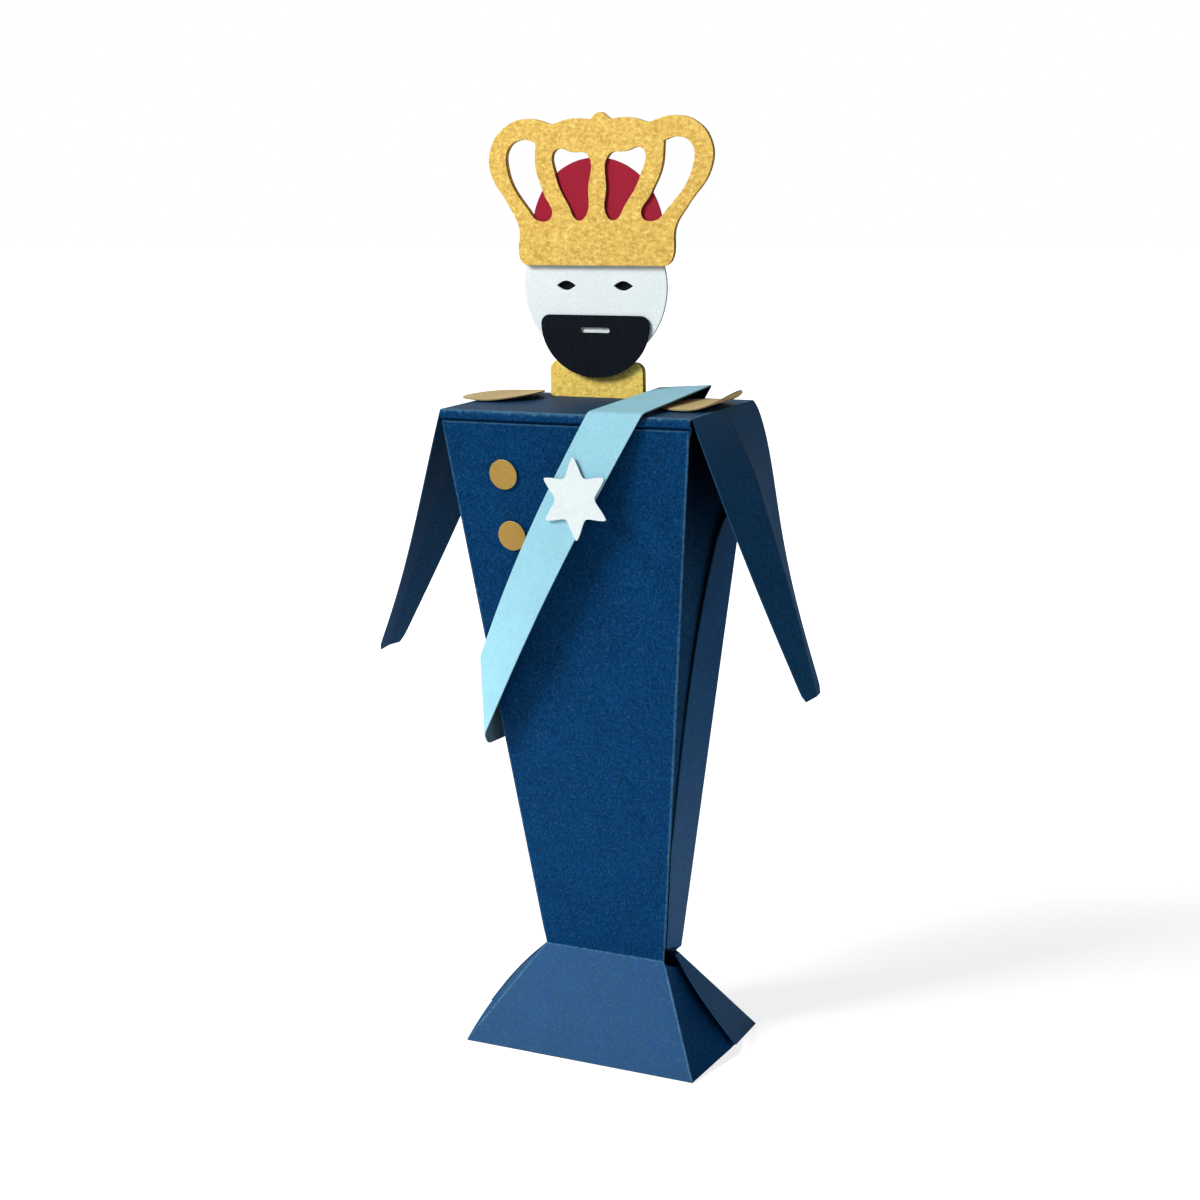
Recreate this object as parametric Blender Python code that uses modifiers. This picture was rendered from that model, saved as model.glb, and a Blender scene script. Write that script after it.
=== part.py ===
"""A standing paper figure, folded and layered from thin card.

Metres, +Z up. The figure faces -Y and stands on z = 0. Its two arms hinge on living folds
along the ends of the shoulder plate. Names ending in _X, _Y and _Z are places seen from the
middle of the body; the empty named figure_frame then moves the whole figure sideways, so that
the world's origin lies under the middle of its outline.
"""
import math

import bmesh
import bpy
from mathutils import Matrix, Vector

MM = 0.001

# Card stock and the glue line between two layers
CARD = 0.30 * MM
HEAD_CARD = 0.60 * MM
GAP = 0.30 * MM
LAYER = CARD + GAP

# Body: two folded shells, front and rear, from the knee fold up to the chest
CHEST_TOP_Z = 137.7 * MM
CHEST_HALF_WIDTH = 28.1 * MM
CHEST_FRONT_Y = -15.75 * MM
CHEST_REAR_Y = 16.5 * MM
KNEE_Z = 19.7 * MM
KNEE_HALF_WIDTH = 14.3 * MM
KNEE_FRONT_Y = -2.1 * MM
KNEE_REAR_Y = 5.0 * MM
REAR_KNEE_INSET = 1.8 * MM
FLAP_TOP_Z = 117.0 * MM
FLAP_TOP_RISE = 4.0 * MM
FRONT_FLAP_TOP_Y = 6.5 * MM
FRONT_FLAP_KNEE_Y = 1.5 * MM
REAR_FLAP_WAIST_Y = -5.15 * MM
REAR_FLAP_WAIST_Z = 48.0 * MM
REAR_FLAP_RUN = 7.0 * MM
REAR_FLAP_CURVE = 3.3
REAR_FLAP_SPRING = 1.1 * MM
REAR_FLAP_FLUSH = 0.12 * MM
REAR_FLAP_FOLDS = 4
KNEE_NOTCH = 1.1 * MM

# Skirt: the shells spread out below the knee fold
HEM_HALF_WIDTH = 27.2 * MM
HEM_HALF_DEPTH = 16.6 * MM
HEM_TRIM = 0.2 * MM
HEM_SIDE_BULGE = 2.4 * MM
HEM_SIDE_LIFT = 2.4 * MM
HEM_SIDE_Y = -0.2 * MM
SKIRT_NOTCH_SHARE = 0.06
SKIRT_FLAP_TOP_SHARE = 0.16
SKIRT_FLAP_BULGE = 1.3 * MM
SKIRT_TONGUE = 3.0 * MM

# Shoulder plate with a tab folded down inside each shell
LIP = 2.3 * MM
SHOULDER_HALF_WIDTH = 28.7 * MM
HINGE_CLEARANCE = 0.4 * MM
TAB_DEPTH = 14.0 * MM
TAB_TAPER = 2.5 * MM

# Arms: tapered strips with a crease down the middle
ARM_LENGTH = 61.5 * MM
ARM_START = 0.2 * MM
HAND_HALF_WIDTH = 4.8 * MM
HAND_CORNER = 0.9 * MM
ARM_EDGE_DIP = 0.6 * MM
LEFT_ARM_HOLLOW = 1.1 * MM
RIGHT_ARM_SWELL = 0.95 * MM
RIGHT_ARM_CREASE = 2.3 * MM
LEFT_ARM_CREASE = 1.2 * MM
RIGHT_ARM_SPREAD = math.radians(18.3)
LEFT_ARM_SPREAD = math.radians(23.7)
ARM_ROWS = 16

# Head, in layers from the back to the front
NECK_X = -5.65 * MM
NECK_Y = 11.5 * MM
NECK_WIDTH = 22.1 * MM
NECK_RISE = 10.1 * MM
NECK_TOP_Z = CHEST_TOP_Z + NECK_RISE
NECK_CORNER = 2.0 * MM
NECK_ROOT = 8.0 * MM
NECK_TONGUE_WIDTH = 12.0 * MM
NECK_TONGUE_RISE = 21.8 * MM
NECK_TONGUE_TOP_Z = CHEST_TOP_Z + NECK_TONGUE_RISE
NECK_REAR_SHIFT = 0.3 * MM
FACE_X = -5.1 * MM
FACE_RISE = 26.3 * MM
FACE_Z = CHEST_TOP_Z + FACE_RISE
FACE_RADIUS = 16.85 * MM
EYE_LENGTH = 4.6 * MM
EYE_HEIGHT = 2.0 * MM
EYE_MARGIN = 1.1 * MM
BEARD_X = -5.0 * MM
BEARD_RISE = 20.1 * MM
BEARD_TOP_Z = CHEST_TOP_Z + BEARD_RISE
BEARD_RADIUS = 12.85 * MM
BEARD_DROP = 13.3 * MM
BEARD_CORNER = 2.0 * MM
MOUTH_WIDTH = 7.0 * MM
MOUTH_HEIGHT = 1.1 * MM
CAP_X = -3.9 * MM
CAP_RISE = 37.6 * MM
CAP_Z = CHEST_TOP_Z + CAP_RISE
CAP_RADIUS = 15.4 * MM
CAP_CUT_RISE = 32.8 * MM
CAP_CUT_Z = CHEST_TOP_Z + CAP_CUT_RISE
CROWN_X = -4.4 * MM
CROWN_RISE = 30.6 * MM
CROWN_BASE_Z = CHEST_TOP_Z + CROWN_RISE
CROWN_LEAN = 0.063
REAR_CROWN_SHIFT = -0.6 * MM

# Trim
EPAULETTE_RADIUS = 8.9 * MM
LEFT_EPAULETTE_X = -25.2 * MM
LEFT_EPAULETTE_Y = 5.7 * MM
RIGHT_EPAULETTE_X = 22.5 * MM
RIGHT_EPAULETTE_Y = 2.0 * MM
EPAULETTE_CURL = 3.2 * MM
BUTTON_RADIUS = 3.175 * MM
UPPER_BUTTON_X = -14.4 * MM
UPPER_BUTTON_DROP = 10.8 * MM
UPPER_BUTTON_Z = CHEST_TOP_Z - UPPER_BUTTON_DROP
LOWER_BUTTON_X = -13.6 * MM
LOWER_BUTTON_DROP = 23.9 * MM
LOWER_BUTTON_Z = CHEST_TOP_Z - LOWER_BUTTON_DROP
STAR_TIP_RADIUS = 8.5 * MM
STAR_WAIST_RADIUS = 4.9 * MM
STAR_SLIMNESS = 0.92
STAR_SHARPNESS = 2.2
STAR_TURN = math.radians(2.6)
STAR_SHARE = 0.27
STAR_ACROSS = 0.62

# Sash: a loose loop of narrow strip over the shoulder plate and round the body's left side
SASH_TOP_LEFT_X = 6.5 * MM
SASH_TOP_WIDTH = 12.1 * MM
SASH_LIFT = 0.75 * MM
SASH_REAR_LIFT = 1.0 * MM
SASH_REAR_TWIST = 0.9 * MM
SASH_FRONT_STAND = 0.95 * MM
SASH_FRONT_BOW = 3.4 * MM
SASH_BOW_FOLDS = 7
SASH_REAR_STAND = 1.1 * MM
SASH_SIDE_TOP_Z = 86.6 * MM
SASH_SIDE_BOTTOM_Z = 69.4 * MM
SASH_SIDE_DROP = 3.4 * MM
SASH_SIDE_STAND = 1.2 * MM
SASH_SIDE_FRONT_STAND = 3.4 * MM
SASH_SIDE_REAR_STAND = 1.5 * MM
SASH_CORNER_TOP_LEAN = 0.9 * MM
SASH_CORNER_LOW_LEAN = 1.3 * MM
SASH_TURN_RUN = 2.5 * MM
SASH_TURN_SAG = 1.0 * MM
SASH_TURN_LEAN = 0.6 * MM
SASH_TURN_DROP_SHARE = 0.8
SASH_TUCK_SAG = 1.6 * MM
SASH_TUCK_LEAN = 0.2 * MM
SASH_REAR_LEAN = 0.3 * MM

# Crown's half outline, seen from the front: (distance from its middle, height, kind of point)
CROWN_HALF = [
    (16.6, 0.0, "corner"),
    (17.8, 1.1, "smooth"),
    (18.4, 8.1, "smooth"),
    (20.9, 12.4, "smooth"),
    (25.8, 20.1, "smooth"),
    (25.5, 25.3, "smooth"),
    (21.8, 29.4, "smooth"),
    (17.0, 30.6, "smooth"),
    (11.2, 29.3, "corner"),
    (6.9, 30.4, "smooth"),
    (2.3, 30.2, "corner"),
]
CROWN_KNOB_HEIGHT = 31.6
CROWN_OUTER_HOLE = [
    (15.0, 25.6, "corner"),
    (18.0, 26.3, "smooth"),
    (21.3, 24.7, "smooth"),
    (21.7, 20.4, "smooth"),
    (16.2, 11.6, "smooth"),
    (13.5, 9.3, "smooth"),
    (10.6, 10.2, "smooth"),
    (12.6, 15.0, "smooth"),
    (14.7, 20.2, "smooth"),
]
CROWN_INNER_HOLE = [
    (10.3, 23.9, "smooth"),
    (6.0, 23.5, "smooth"),
    (2.5, 22.9, "smooth"),
    (2.1, 16.0, "smooth"),
    (2.5, 10.3, "smooth"),
    (4.2, 9.4, "smooth"),
    (6.6, 12.5, "smooth"),
    (9.9, 18.7, "smooth"),
]

NAVY = (0.006, 0.030, 0.110)
DEEP_BLUE = (0.014, 0.040, 0.085)
GOLD = (0.640, 0.420, 0.110)
TAN = (0.420, 0.300, 0.130)
RED = (0.420, 0.016, 0.050)
SKY = (0.420, 0.740, 0.820)
WHITE = (0.820, 0.850, 0.860)
BLACK = (0.010, 0.012, 0.018)


# Scene and object helpers


def clear_scene():
    for old in list(bpy.data.objects):
        bpy.data.objects.remove(old)


def make_collection(name):
    collection = bpy.data.collections.new(name)
    bpy.context.scene.collection.children.link(collection)
    return collection


def paper(name, colour, metallic=0.0, roughness=0.85):
    material = bpy.data.materials.new(name + "_card")
    material.use_nodes = True
    shader = material.node_tree.nodes["Principled BSDF"]
    shader.inputs["Base Color"].default_value = (*colour, 1.0)
    shader.inputs["Roughness"].default_value = roughness
    shader.inputs["Metallic"].default_value = metallic
    material.diffuse_color = (*colour, 1.0)
    return material


def place(name, data, colour, location=(0.0, 0.0, 0.0), turn=(0.0, 0.0, 0.0), metallic=0.0):
    """Adds an object to the figure, under the empty that carries the whole figure."""
    data.materials.append(paper(name, colour, metallic))
    piece = bpy.data.objects.new(name, data)
    figure.objects.link(piece)
    piece.parent = figure_frame
    piece.location = location
    piece.rotation_euler = turn
    return piece


def sheet(name, points, faces):
    """A mesh of a folded card's middle surface, from named points and faces that list them."""
    bm = bmesh.new()
    corner = {}
    for key, point in points.items():
        corner[key] = bm.verts.new(point)
    for face in faces:
        bm.faces.new([corner[key] for key in face])
    bmesh.ops.recalc_face_normals(bm, faces=bm.faces)
    mesh = bpy.data.meshes.new(name)
    bm.to_mesh(mesh)
    bm.free()
    return mesh


def thicken(piece, thickness=CARD):
    """Gives a middle surface the card's thickness, half to each side."""
    solid = piece.modifiers.new("card", "SOLIDIFY")
    solid.thickness = thickness
    solid.offset = 0.0
    solid.solidify_mode = "NON_MANIFOLD"
    solid.nonmanifold_thickness_mode = "CONSTRAINTS"
    return piece


def flat_curve(name, thickness):
    """An empty 2D curve whose filled outline gets the given thickness."""
    curve = bpy.data.curves.new(name, "CURVE")
    curve.dimensions = "2D"
    curve.fill_mode = "BOTH"
    curve.extrude = thickness / 2
    return curve


def add_polygon(curve, points):
    """Adds a closed outline of straight stretches to a flat curve."""
    spline = curve.splines.new("POLY")
    spline.points.add(len(points) - 1)
    for target, (x, y) in zip(spline.points, points):
        target.co = (x, y, 0.0, 1.0)
    spline.use_cyclic_u = True


def add_smooth_outline(curve, points):
    """Adds a closed outline of (x, y, kind) points, bent through the smooth ones."""
    spline = curve.splines.new("BEZIER")
    spline.bezier_points.add(len(points) - 1)
    spline.resolution_u = 4
    for target, (x, y, kind) in zip(spline.bezier_points, points):
        target.co = (x, y, 0.0)
        handle = "AUTO" if kind == "smooth" else "VECTOR"
        target.handle_left_type = handle
        target.handle_right_type = handle
    spline.use_cyclic_u = True


def arc(centre, radius, start, end, steps):
    """Points on an arc, angles in degrees from +X."""
    points = []
    for i in range(steps + 1):
        angle = math.radians(start + (end - start) * i / steps)
        points.append((centre[0] + radius * math.cos(angle), centre[1] + radius * math.sin(angle)))
    return points


def circle(centre, radius, steps=64):
    return arc(centre, radius, 0.0, 360.0 - 360.0 / steps, steps - 1)


def rounded_box(left, bottom, right, top, radius, steps=5):
    """A rectangle with rounded corners, as a closed outline."""
    outline = arc((right - radius, top - radius), radius, 0, 90, steps)
    outline += arc((left + radius, top - radius), radius, 90, 180, steps)
    outline += arc((left + radius, bottom + radius), radius, 180, 270, steps)
    outline += arc((right - radius, bottom + radius), radius, 270, 360, steps)
    return outline


def stand_up(name, curve, colour, y, metallic=0.0):
    """Places a flat curve drawn in x and z upright, facing -Y, with its middle at y."""
    return place(name, curve, colour, (0.0, y, 0.0), (math.pi / 2, 0.0, 0.0), metallic)


# Body surfaces


def rise(z):
    """Share of the way from the knee fold (0) to the top of the chest (1)."""
    return (z - KNEE_Z) / (CHEST_TOP_Z - KNEE_Z)


def half_width(z):
    return KNEE_HALF_WIDTH + (CHEST_HALF_WIDTH - KNEE_HALF_WIDTH) * rise(z)


def front_y(z):
    return KNEE_FRONT_Y + (CHEST_FRONT_Y - KNEE_FRONT_Y) * rise(z)


def rear_y(z):
    return KNEE_REAR_Y + (CHEST_REAR_Y - KNEE_REAR_Y) * rise(z)


def trim_hem(piece):
    """Cuts the hem level at z = 0, so that the tilted card stands on a flat edge."""
    cut = piece.modifiers.new("level_hem", "BOOLEAN")
    cut.operation = "DIFFERENCE"
    cut.solver = "EXACT"
    cut.object = floor_cutter


def rear_knee():
    """The rear skirt's upper corner on the right, a little inside the body's corner above it."""
    return Vector((KNEE_HALF_WIDTH + LAYER - REAR_KNEE_INSET, KNEE_REAR_Y, KNEE_Z))


def rear_flap_frame():
    """The rear skirt flap's four corners on the right side, and its outward normal."""
    knee = rear_knee()
    hem = Vector((HEM_HALF_WIDTH + LAYER, HEM_HALF_DEPTH, -HEM_TRIM))
    side = hem + Vector((HEM_SIDE_BULGE, HEM_SIDE_Y - HEM_HALF_DEPTH, HEM_SIDE_LIFT))
    top = knee.lerp(hem, SKIRT_NOTCH_SHARE)
    front = top + (side - hem) * SKIRT_FLAP_TOP_SHARE
    normal = (side - hem).cross(top - hem).normalized()
    if normal.x < 0:
        normal.negate()
    return top, hem, side, front, normal


def both_sides(points):
    """Right-side points named R_..., with their mirror images named L_...."""
    mirrored = {}
    for key, point in points.items():
        mirrored["R_" + key] = Vector(point)
        mirrored["L_" + key] = Vector((-point[0], point[1], point[2]))
    return mirrored


def both_ways(names):
    """One face on the right side and its mirror image, wound the other way."""
    right = ["R_" + name for name in names]
    left = ["L_" + name for name in reversed(names)]
    return [right, left]


def front_shell():
    """Chest panel, skirt panel and their side flaps, folded from one card."""
    notch_z = KNEE_Z + KNEE_NOTCH
    flap_rise_z = FLAP_TOP_Z + FLAP_TOP_RISE / 2
    knee = Vector((KNEE_HALF_WIDTH, KNEE_FRONT_Y, KNEE_Z))
    hem = Vector((HEM_HALF_WIDTH, -HEM_HALF_DEPTH, -HEM_TRIM))
    rear_top, rear_hem, rear_side, rear_front, normal = rear_flap_frame()
    side = rear_side - normal * LAYER
    front = rear_front - normal * LAYER
    points = both_sides({
        "top": (CHEST_HALF_WIDTH, CHEST_FRONT_Y, CHEST_TOP_Z),
        "flap": (half_width(FLAP_TOP_Z), front_y(FLAP_TOP_Z), FLAP_TOP_Z),
        "notch": (half_width(notch_z), front_y(notch_z), notch_z),
        "knee": knee,
        "skirt": knee.lerp(hem, SKIRT_NOTCH_SHARE),
        "hem": hem,
        "flap_back": (half_width(flap_rise_z), FRONT_FLAP_TOP_Y, flap_rise_z),
        "notch_back": (half_width(notch_z), FRONT_FLAP_KNEE_Y, notch_z),
        "side": side,
        "side_top": front,
        "tongue": side + (rear_hem - rear_side).normalized() * SKIRT_TONGUE,
        "tongue_top": front + (rear_top - rear_front).normalized() * SKIRT_TONGUE / 2,
    })
    chest = ["R_top", "R_flap", "R_notch", "R_knee", "L_knee", "L_notch", "L_flap", "L_top"]
    skirt = ["R_knee", "R_skirt", "R_hem", "L_hem", "L_skirt", "L_knee"]
    faces = [chest, skirt]
    faces += both_ways(["flap", "flap_back", "notch_back", "notch"])
    faces += both_ways(["skirt", "side_top", "side", "hem"])
    faces += both_ways(["side_top", "tongue_top", "tongue", "side"])
    trim_hem(thicken(place("front_shell", sheet("front_shell", points, faces), NAVY)))


def rear_flap_edge(z):
    """Front edge of the rear flap: along the front fold up to the waist, above it back and outwards."""
    share = max(0.0, (z - REAR_FLAP_WAIST_Z) / (FLAP_TOP_Z - REAR_FLAP_WAIST_Z))
    y = max(front_y(z) + REAR_FLAP_FLUSH, REAR_FLAP_WAIST_Y + REAR_FLAP_RUN * share ** REAR_FLAP_CURVE)
    return half_width(z) + LAYER + REAR_FLAP_SPRING * share ** 2, y, z


def rear_shell():
    """The same card turned round, a layer wider, so that its flaps lie outside the front's."""
    notch_z = KNEE_Z + KNEE_NOTCH
    top, hem, side, front, _ = rear_flap_frame()
    right = {
        "top": (CHEST_HALF_WIDTH + LAYER, CHEST_REAR_Y, CHEST_TOP_Z),
        "knee": rear_knee(),
        "skirt": top,
        "hem": hem,
        "side": side,
        "side_middle": front.lerp(side, 0.5) + (side - hem).normalized() * SKIRT_FLAP_BULGE,
        "side_top": front,
    }
    fold = []
    edge = []
    for i in range(REAR_FLAP_FOLDS + 1):
        share = i / REAR_FLAP_FOLDS
        fold_z = FLAP_TOP_Z + FLAP_TOP_RISE + (REAR_FLAP_WAIST_Z - FLAP_TOP_Z - FLAP_TOP_RISE) * share
        fold.append((half_width(fold_z) + LAYER, rear_y(fold_z), fold_z))
        edge.append(rear_flap_edge(FLAP_TOP_Z + (REAR_FLAP_WAIST_Z - FLAP_TOP_Z) * share))
    fold.append((half_width(notch_z) + LAYER, rear_y(notch_z), notch_z))
    edge.append(rear_flap_edge(notch_z))
    for i, (fold_point, edge_point) in enumerate(zip(fold, edge)):
        right[f"fold_{i}"] = fold_point
        right[f"edge_{i}"] = edge_point
    down = [f"fold_{i}" for i in range(len(fold))]
    back = ["R_top", "L_top"] + ["L_" + name for name in down] + ["L_knee", "R_knee"]
    back += ["R_" + name for name in reversed(down)]
    skirt = ["R_knee", "L_knee", "L_skirt", "L_hem", "R_hem", "R_skirt"]
    faces = [back, skirt]
    for i in range(len(fold) - 1):
        faces += both_ways([f"fold_{i}", f"fold_{i + 1}", f"edge_{i + 1}", f"edge_{i}"])
    faces += both_ways(["skirt", "hem", "side", "side_middle", "side_top"])
    points = both_sides(right)
    trim_hem(thicken(place("rear_shell", sheet("rear_shell", points, faces), DEEP_BLUE)))


# Shoulder plate and arms


def plate_z():
    """Height of the shoulder plate's middle surface."""
    return CHEST_TOP_Z + LIP


def plate_front_y():
    return front_y(plate_z()) + LAYER


def plate_rear_y():
    return rear_y(plate_z()) - LAYER


def neck_rear_y():
    return NECK_Y + LAYER


def yoke_plate():
    """Shoulder plate, slotted for the neck, with a tab folded down behind each shell."""
    plate_half = SHOULDER_HALF_WIDTH - HINGE_CLEARANCE
    tab_half = plate_half - TAB_TAPER
    z = plate_z()
    tab_z = z - TAB_DEPTH
    slot_left = NECK_X - NECK_WIDTH / 2 - GAP
    slot_right = NECK_X + NECK_WIDTH / 2 + NECK_REAR_SHIFT + GAP
    slot_front = NECK_Y - CARD / 2 - GAP
    slot_rear = neck_rear_y() + CARD / 2 + GAP
    points = {
        "left_front": (-plate_half, plate_front_y(), z),
        "right_front": (plate_half, plate_front_y(), z),
        "right_rear": (plate_half, plate_rear_y(), z),
        "left_rear": (-plate_half, plate_rear_y(), z),
        "slot_left_front": (slot_left, slot_front, z),
        "slot_right_front": (slot_right, slot_front, z),
        "slot_right_rear": (slot_right, slot_rear, z),
        "slot_left_rear": (slot_left, slot_rear, z),
        "front_tab_left": (-tab_half, front_y(tab_z) + LAYER, tab_z),
        "front_tab_right": (tab_half, front_y(tab_z) + LAYER, tab_z),
        "rear_tab_left": (-tab_half, rear_y(tab_z) - LAYER, tab_z),
        "rear_tab_right": (tab_half, rear_y(tab_z) - LAYER, tab_z),
    }
    faces = [
        ["left_front", "right_front", "slot_right_front", "slot_left_front"],
        ["right_front", "right_rear", "slot_right_rear", "slot_right_front"],
        ["right_rear", "left_rear", "slot_left_rear", "slot_right_rear"],
        ["left_rear", "left_front", "slot_left_front", "slot_left_rear"],
        ["left_front", "front_tab_left", "front_tab_right", "right_front"],
        ["right_rear", "rear_tab_right", "rear_tab_left", "left_rear"],
    ]
    thicken(place("yoke_plate", sheet("yoke_plate", points, faces), DEEP_BLUE))


def even_dip(share):
    """An edge that hollows evenly between shoulder and hand."""
    return -ARM_EDGE_DIP * math.sin(math.pi * share)


def left_front_edge(share):
    """An edge that hollows most below its middle."""
    return -LEFT_ARM_HOLLOW * math.sin(math.pi * share ** 1.4)


def right_rear_edge(share):
    """An edge that swells below the shoulder and hollows above the hand."""
    return RIGHT_ARM_SWELL * math.sin(2 * math.pi * share ** 0.65)


def arm(name, side, spread, crease, front_edge, rear_edge):
    """A strip that hangs from its fold; side is +1 or -1, and crease is how far its ridge stands.

    The two edge functions give how far outwards each edge stands at a share of the arm's length.
    """
    points = {}
    faces = []
    for row in range(ARM_ROWS + 1):
        share = row / ARM_ROWS
        down = ARM_START + (ARM_LENGTH - ARM_START) * share
        narrowing = HAND_CORNER if row == ARM_ROWS else 0.0
        front = plate_front_y() + (-HAND_HALF_WIDTH - plate_front_y()) * share + narrowing
        rear = plate_rear_y() + (HAND_HALF_WIDTH - plate_rear_y()) * share - narrowing
        opening = min(1.0, share / 0.25)
        ridge = crease * (1.0 - (1.0 - opening) ** 2)
        points["front", row] = (side * front_edge(share), front, -down)
        points["ridge", row] = (side * ridge, (front + rear) / 2, -down)
        points["rear", row] = (side * rear_edge(share), rear, -down)
        if row:
            faces.append([("front", row - 1), ("ridge", row - 1), ("ridge", row), ("front", row)])
            faces.append([("ridge", row - 1), ("rear", row - 1), ("rear", row), ("ridge", row)])
    fold = (side * SHOULDER_HALF_WIDTH, 0.0, plate_z())
    turn = (0.0, -side * spread, 0.0)
    thicken(place(name, sheet(name, points, faces), DEEP_BLUE, fold, turn))


# Neck and head


def neck(name, x, y, tongue):
    """A strip that stands in the plate's slot; its tongue is glued behind the face."""
    curve = flat_curve(name, CARD)
    left = x - NECK_WIDTH / 2
    right = x + NECK_WIDTH / 2
    bottom = plate_z() - NECK_ROOT
    outline = [(left, bottom), (right, bottom)]
    outline += arc((right - NECK_CORNER, NECK_TOP_Z - NECK_CORNER), NECK_CORNER, 0, 90, 6)
    if tongue:
        outline += [(x + NECK_TONGUE_WIDTH / 2, NECK_TOP_Z), (x + NECK_TONGUE_WIDTH / 2, NECK_TONGUE_TOP_Z)]
        outline += [(x - NECK_TONGUE_WIDTH / 2, NECK_TONGUE_TOP_Z), (x - NECK_TONGUE_WIDTH / 2, NECK_TOP_Z)]
    outline += arc((left + NECK_CORNER, NECK_TOP_Z - NECK_CORNER), NECK_CORNER, 90, 180, 6)
    add_polygon(curve, outline)
    stand_up(name, curve, GOLD, y, 0.35)


def face_y():
    return NECK_Y - CARD / 2 - GAP - HEAD_CARD / 2


def trim_y():
    """The layer in front of the face: the cap and the beard."""
    return face_y() - HEAD_CARD / 2 - GAP - CARD / 2


def crown_y():
    return trim_y() - LAYER


def eye_height_z():
    """Eyes at half the face's height."""
    return FACE_Z


def eye_x(side):
    """Eyes one eye length apart, for a face five eye lengths wide."""
    return FACE_X + side * FACE_RADIUS * 2 / 5


def almond(centre, length, height, steps=8):
    """A closed lens shape of two shallow arcs."""
    points = []
    for i in range(steps + 1):
        share = i / steps
        points.append((centre[0] - length / 2 + length * share, centre[1] + height / 2 * math.sin(math.pi * share)))
    for i in range(1, steps):
        share = i / steps
        points.append((centre[0] + length / 2 - length * share, centre[1] - height / 2 * math.sin(math.pi * share)))
    return points


def face_disc():
    """White disc with two eye openings."""
    curve = flat_curve("face_disc", HEAD_CARD)
    add_polygon(curve, circle((FACE_X, FACE_Z), FACE_RADIUS, 80))
    for side in (-1, 1):
        add_polygon(curve, almond((eye_x(side), eye_height_z()), EYE_LENGTH, EYE_HEIGHT))
    stand_up("face_disc", curve, WHITE, face_y())


def eye_backing():
    """Dark strip that shows through the eye openings."""
    curve = flat_curve("eye_backing", CARD)
    left = eye_x(-1) - EYE_LENGTH / 2 - EYE_MARGIN
    right = eye_x(1) + EYE_LENGTH / 2 + EYE_MARGIN
    top = eye_height_z() + EYE_HEIGHT / 2 + EYE_MARGIN
    bottom = eye_height_z() - EYE_HEIGHT / 2 - EYE_MARGIN
    add_polygon(curve, rounded_box(left, bottom, right, top, EYE_MARGIN))
    stand_up("eye_backing", curve, BLACK, NECK_Y)


def mouth():
    """A slim, level mouth opening with rounded ends, a third of the lower face above the chin."""
    z = FACE_Z - FACE_RADIUS * 5 / 9
    return rounded_box(
        BEARD_X - MOUTH_WIDTH / 2, z - MOUTH_HEIGHT / 2,
        BEARD_X + MOUTH_WIDTH / 2, z + MOUTH_HEIGHT / 2, MOUTH_HEIGHT * 0.45,
    )


def beard():
    """Half disc with rounded corners on its straight upper edge, and a mouth opening."""
    curve = flat_curve("beard", CARD)
    centre_z = BEARD_TOP_Z - BEARD_CORNER
    outline = []
    steps = 40
    for i in range(steps + 1):
        angle = math.pi * i / steps
        x = BEARD_X - BEARD_RADIUS * math.cos(angle)
        outline.append((x, centre_z - (BEARD_DROP - BEARD_CORNER) * math.sin(angle)))
    outline += arc((BEARD_X + BEARD_RADIUS - BEARD_CORNER, centre_z), BEARD_CORNER, 15, 90, 5)
    outline += arc((BEARD_X - BEARD_RADIUS + BEARD_CORNER, centre_z), BEARD_CORNER, 90, 165, 5)
    add_polygon(curve, outline)
    add_polygon(curve, mouth())
    stand_up("beard", curve, BLACK, trim_y())


def cap_disc():
    """Disc cut off level behind the crown's band."""
    curve = flat_curve("cap_disc", CARD)
    cut_angle = math.degrees(math.asin((CAP_CUT_Z - CAP_Z) / CAP_RADIUS))
    add_polygon(curve, arc((CAP_X, CAP_Z), CAP_RADIUS, cut_angle, 180 - cut_angle, 60))
    stand_up("cap_disc", curve, RED, trim_y())


def lean(x, height):
    """Sideways lean of the crown, more at its top."""
    return x + CROWN_LEAN * height


def crown_loop(half, side, top=None):
    """Points of one side of the crown, or of a whole outline when top closes it in the middle."""
    points = []
    for x, height, kind in half:
        points.append((lean(side * x, height) * MM, height * MM, kind))
    if top is not None:
        points.append((lean(0.0, top) * MM, top * MM, "smooth"))
        for x, height, kind in reversed(half):
            points.append((lean(-side * x, height) * MM, height * MM, kind))
    return points


def crown(name, x, y):
    """Crown of one card: band, two pairs of arches and a small knob, with four openings."""
    curve = flat_curve(name, CARD)
    outlines = [crown_loop(CROWN_HALF, 1, CROWN_KNOB_HEIGHT)]
    for side in (-1, 1):
        outlines.append(crown_loop(CROWN_OUTER_HOLE, side))
        outlines.append(crown_loop(CROWN_INNER_HOLE, side))
    for outline in outlines:
        add_smooth_outline(curve, outline)
    place(name, curve, GOLD, (x, y, CROWN_BASE_Z), (math.pi / 2, 0.0, 0.0), 0.35)


# Trim


def lying_disc_z():
    """Middle height of a card that lies on the shoulder plate."""
    return plate_z() + LAYER


def left_epaulette():
    """Disc glued flat on the plate, standing out past the shoulder."""
    curve = flat_curve("left_epaulette", CARD)
    add_polygon(curve, circle((0.0, 0.0), EPAULETTE_RADIUS))
    location = (LEFT_EPAULETTE_X, LEFT_EPAULETTE_Y, lying_disc_z())
    place("left_epaulette", curve, TAN, location, metallic=0.2)


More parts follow.
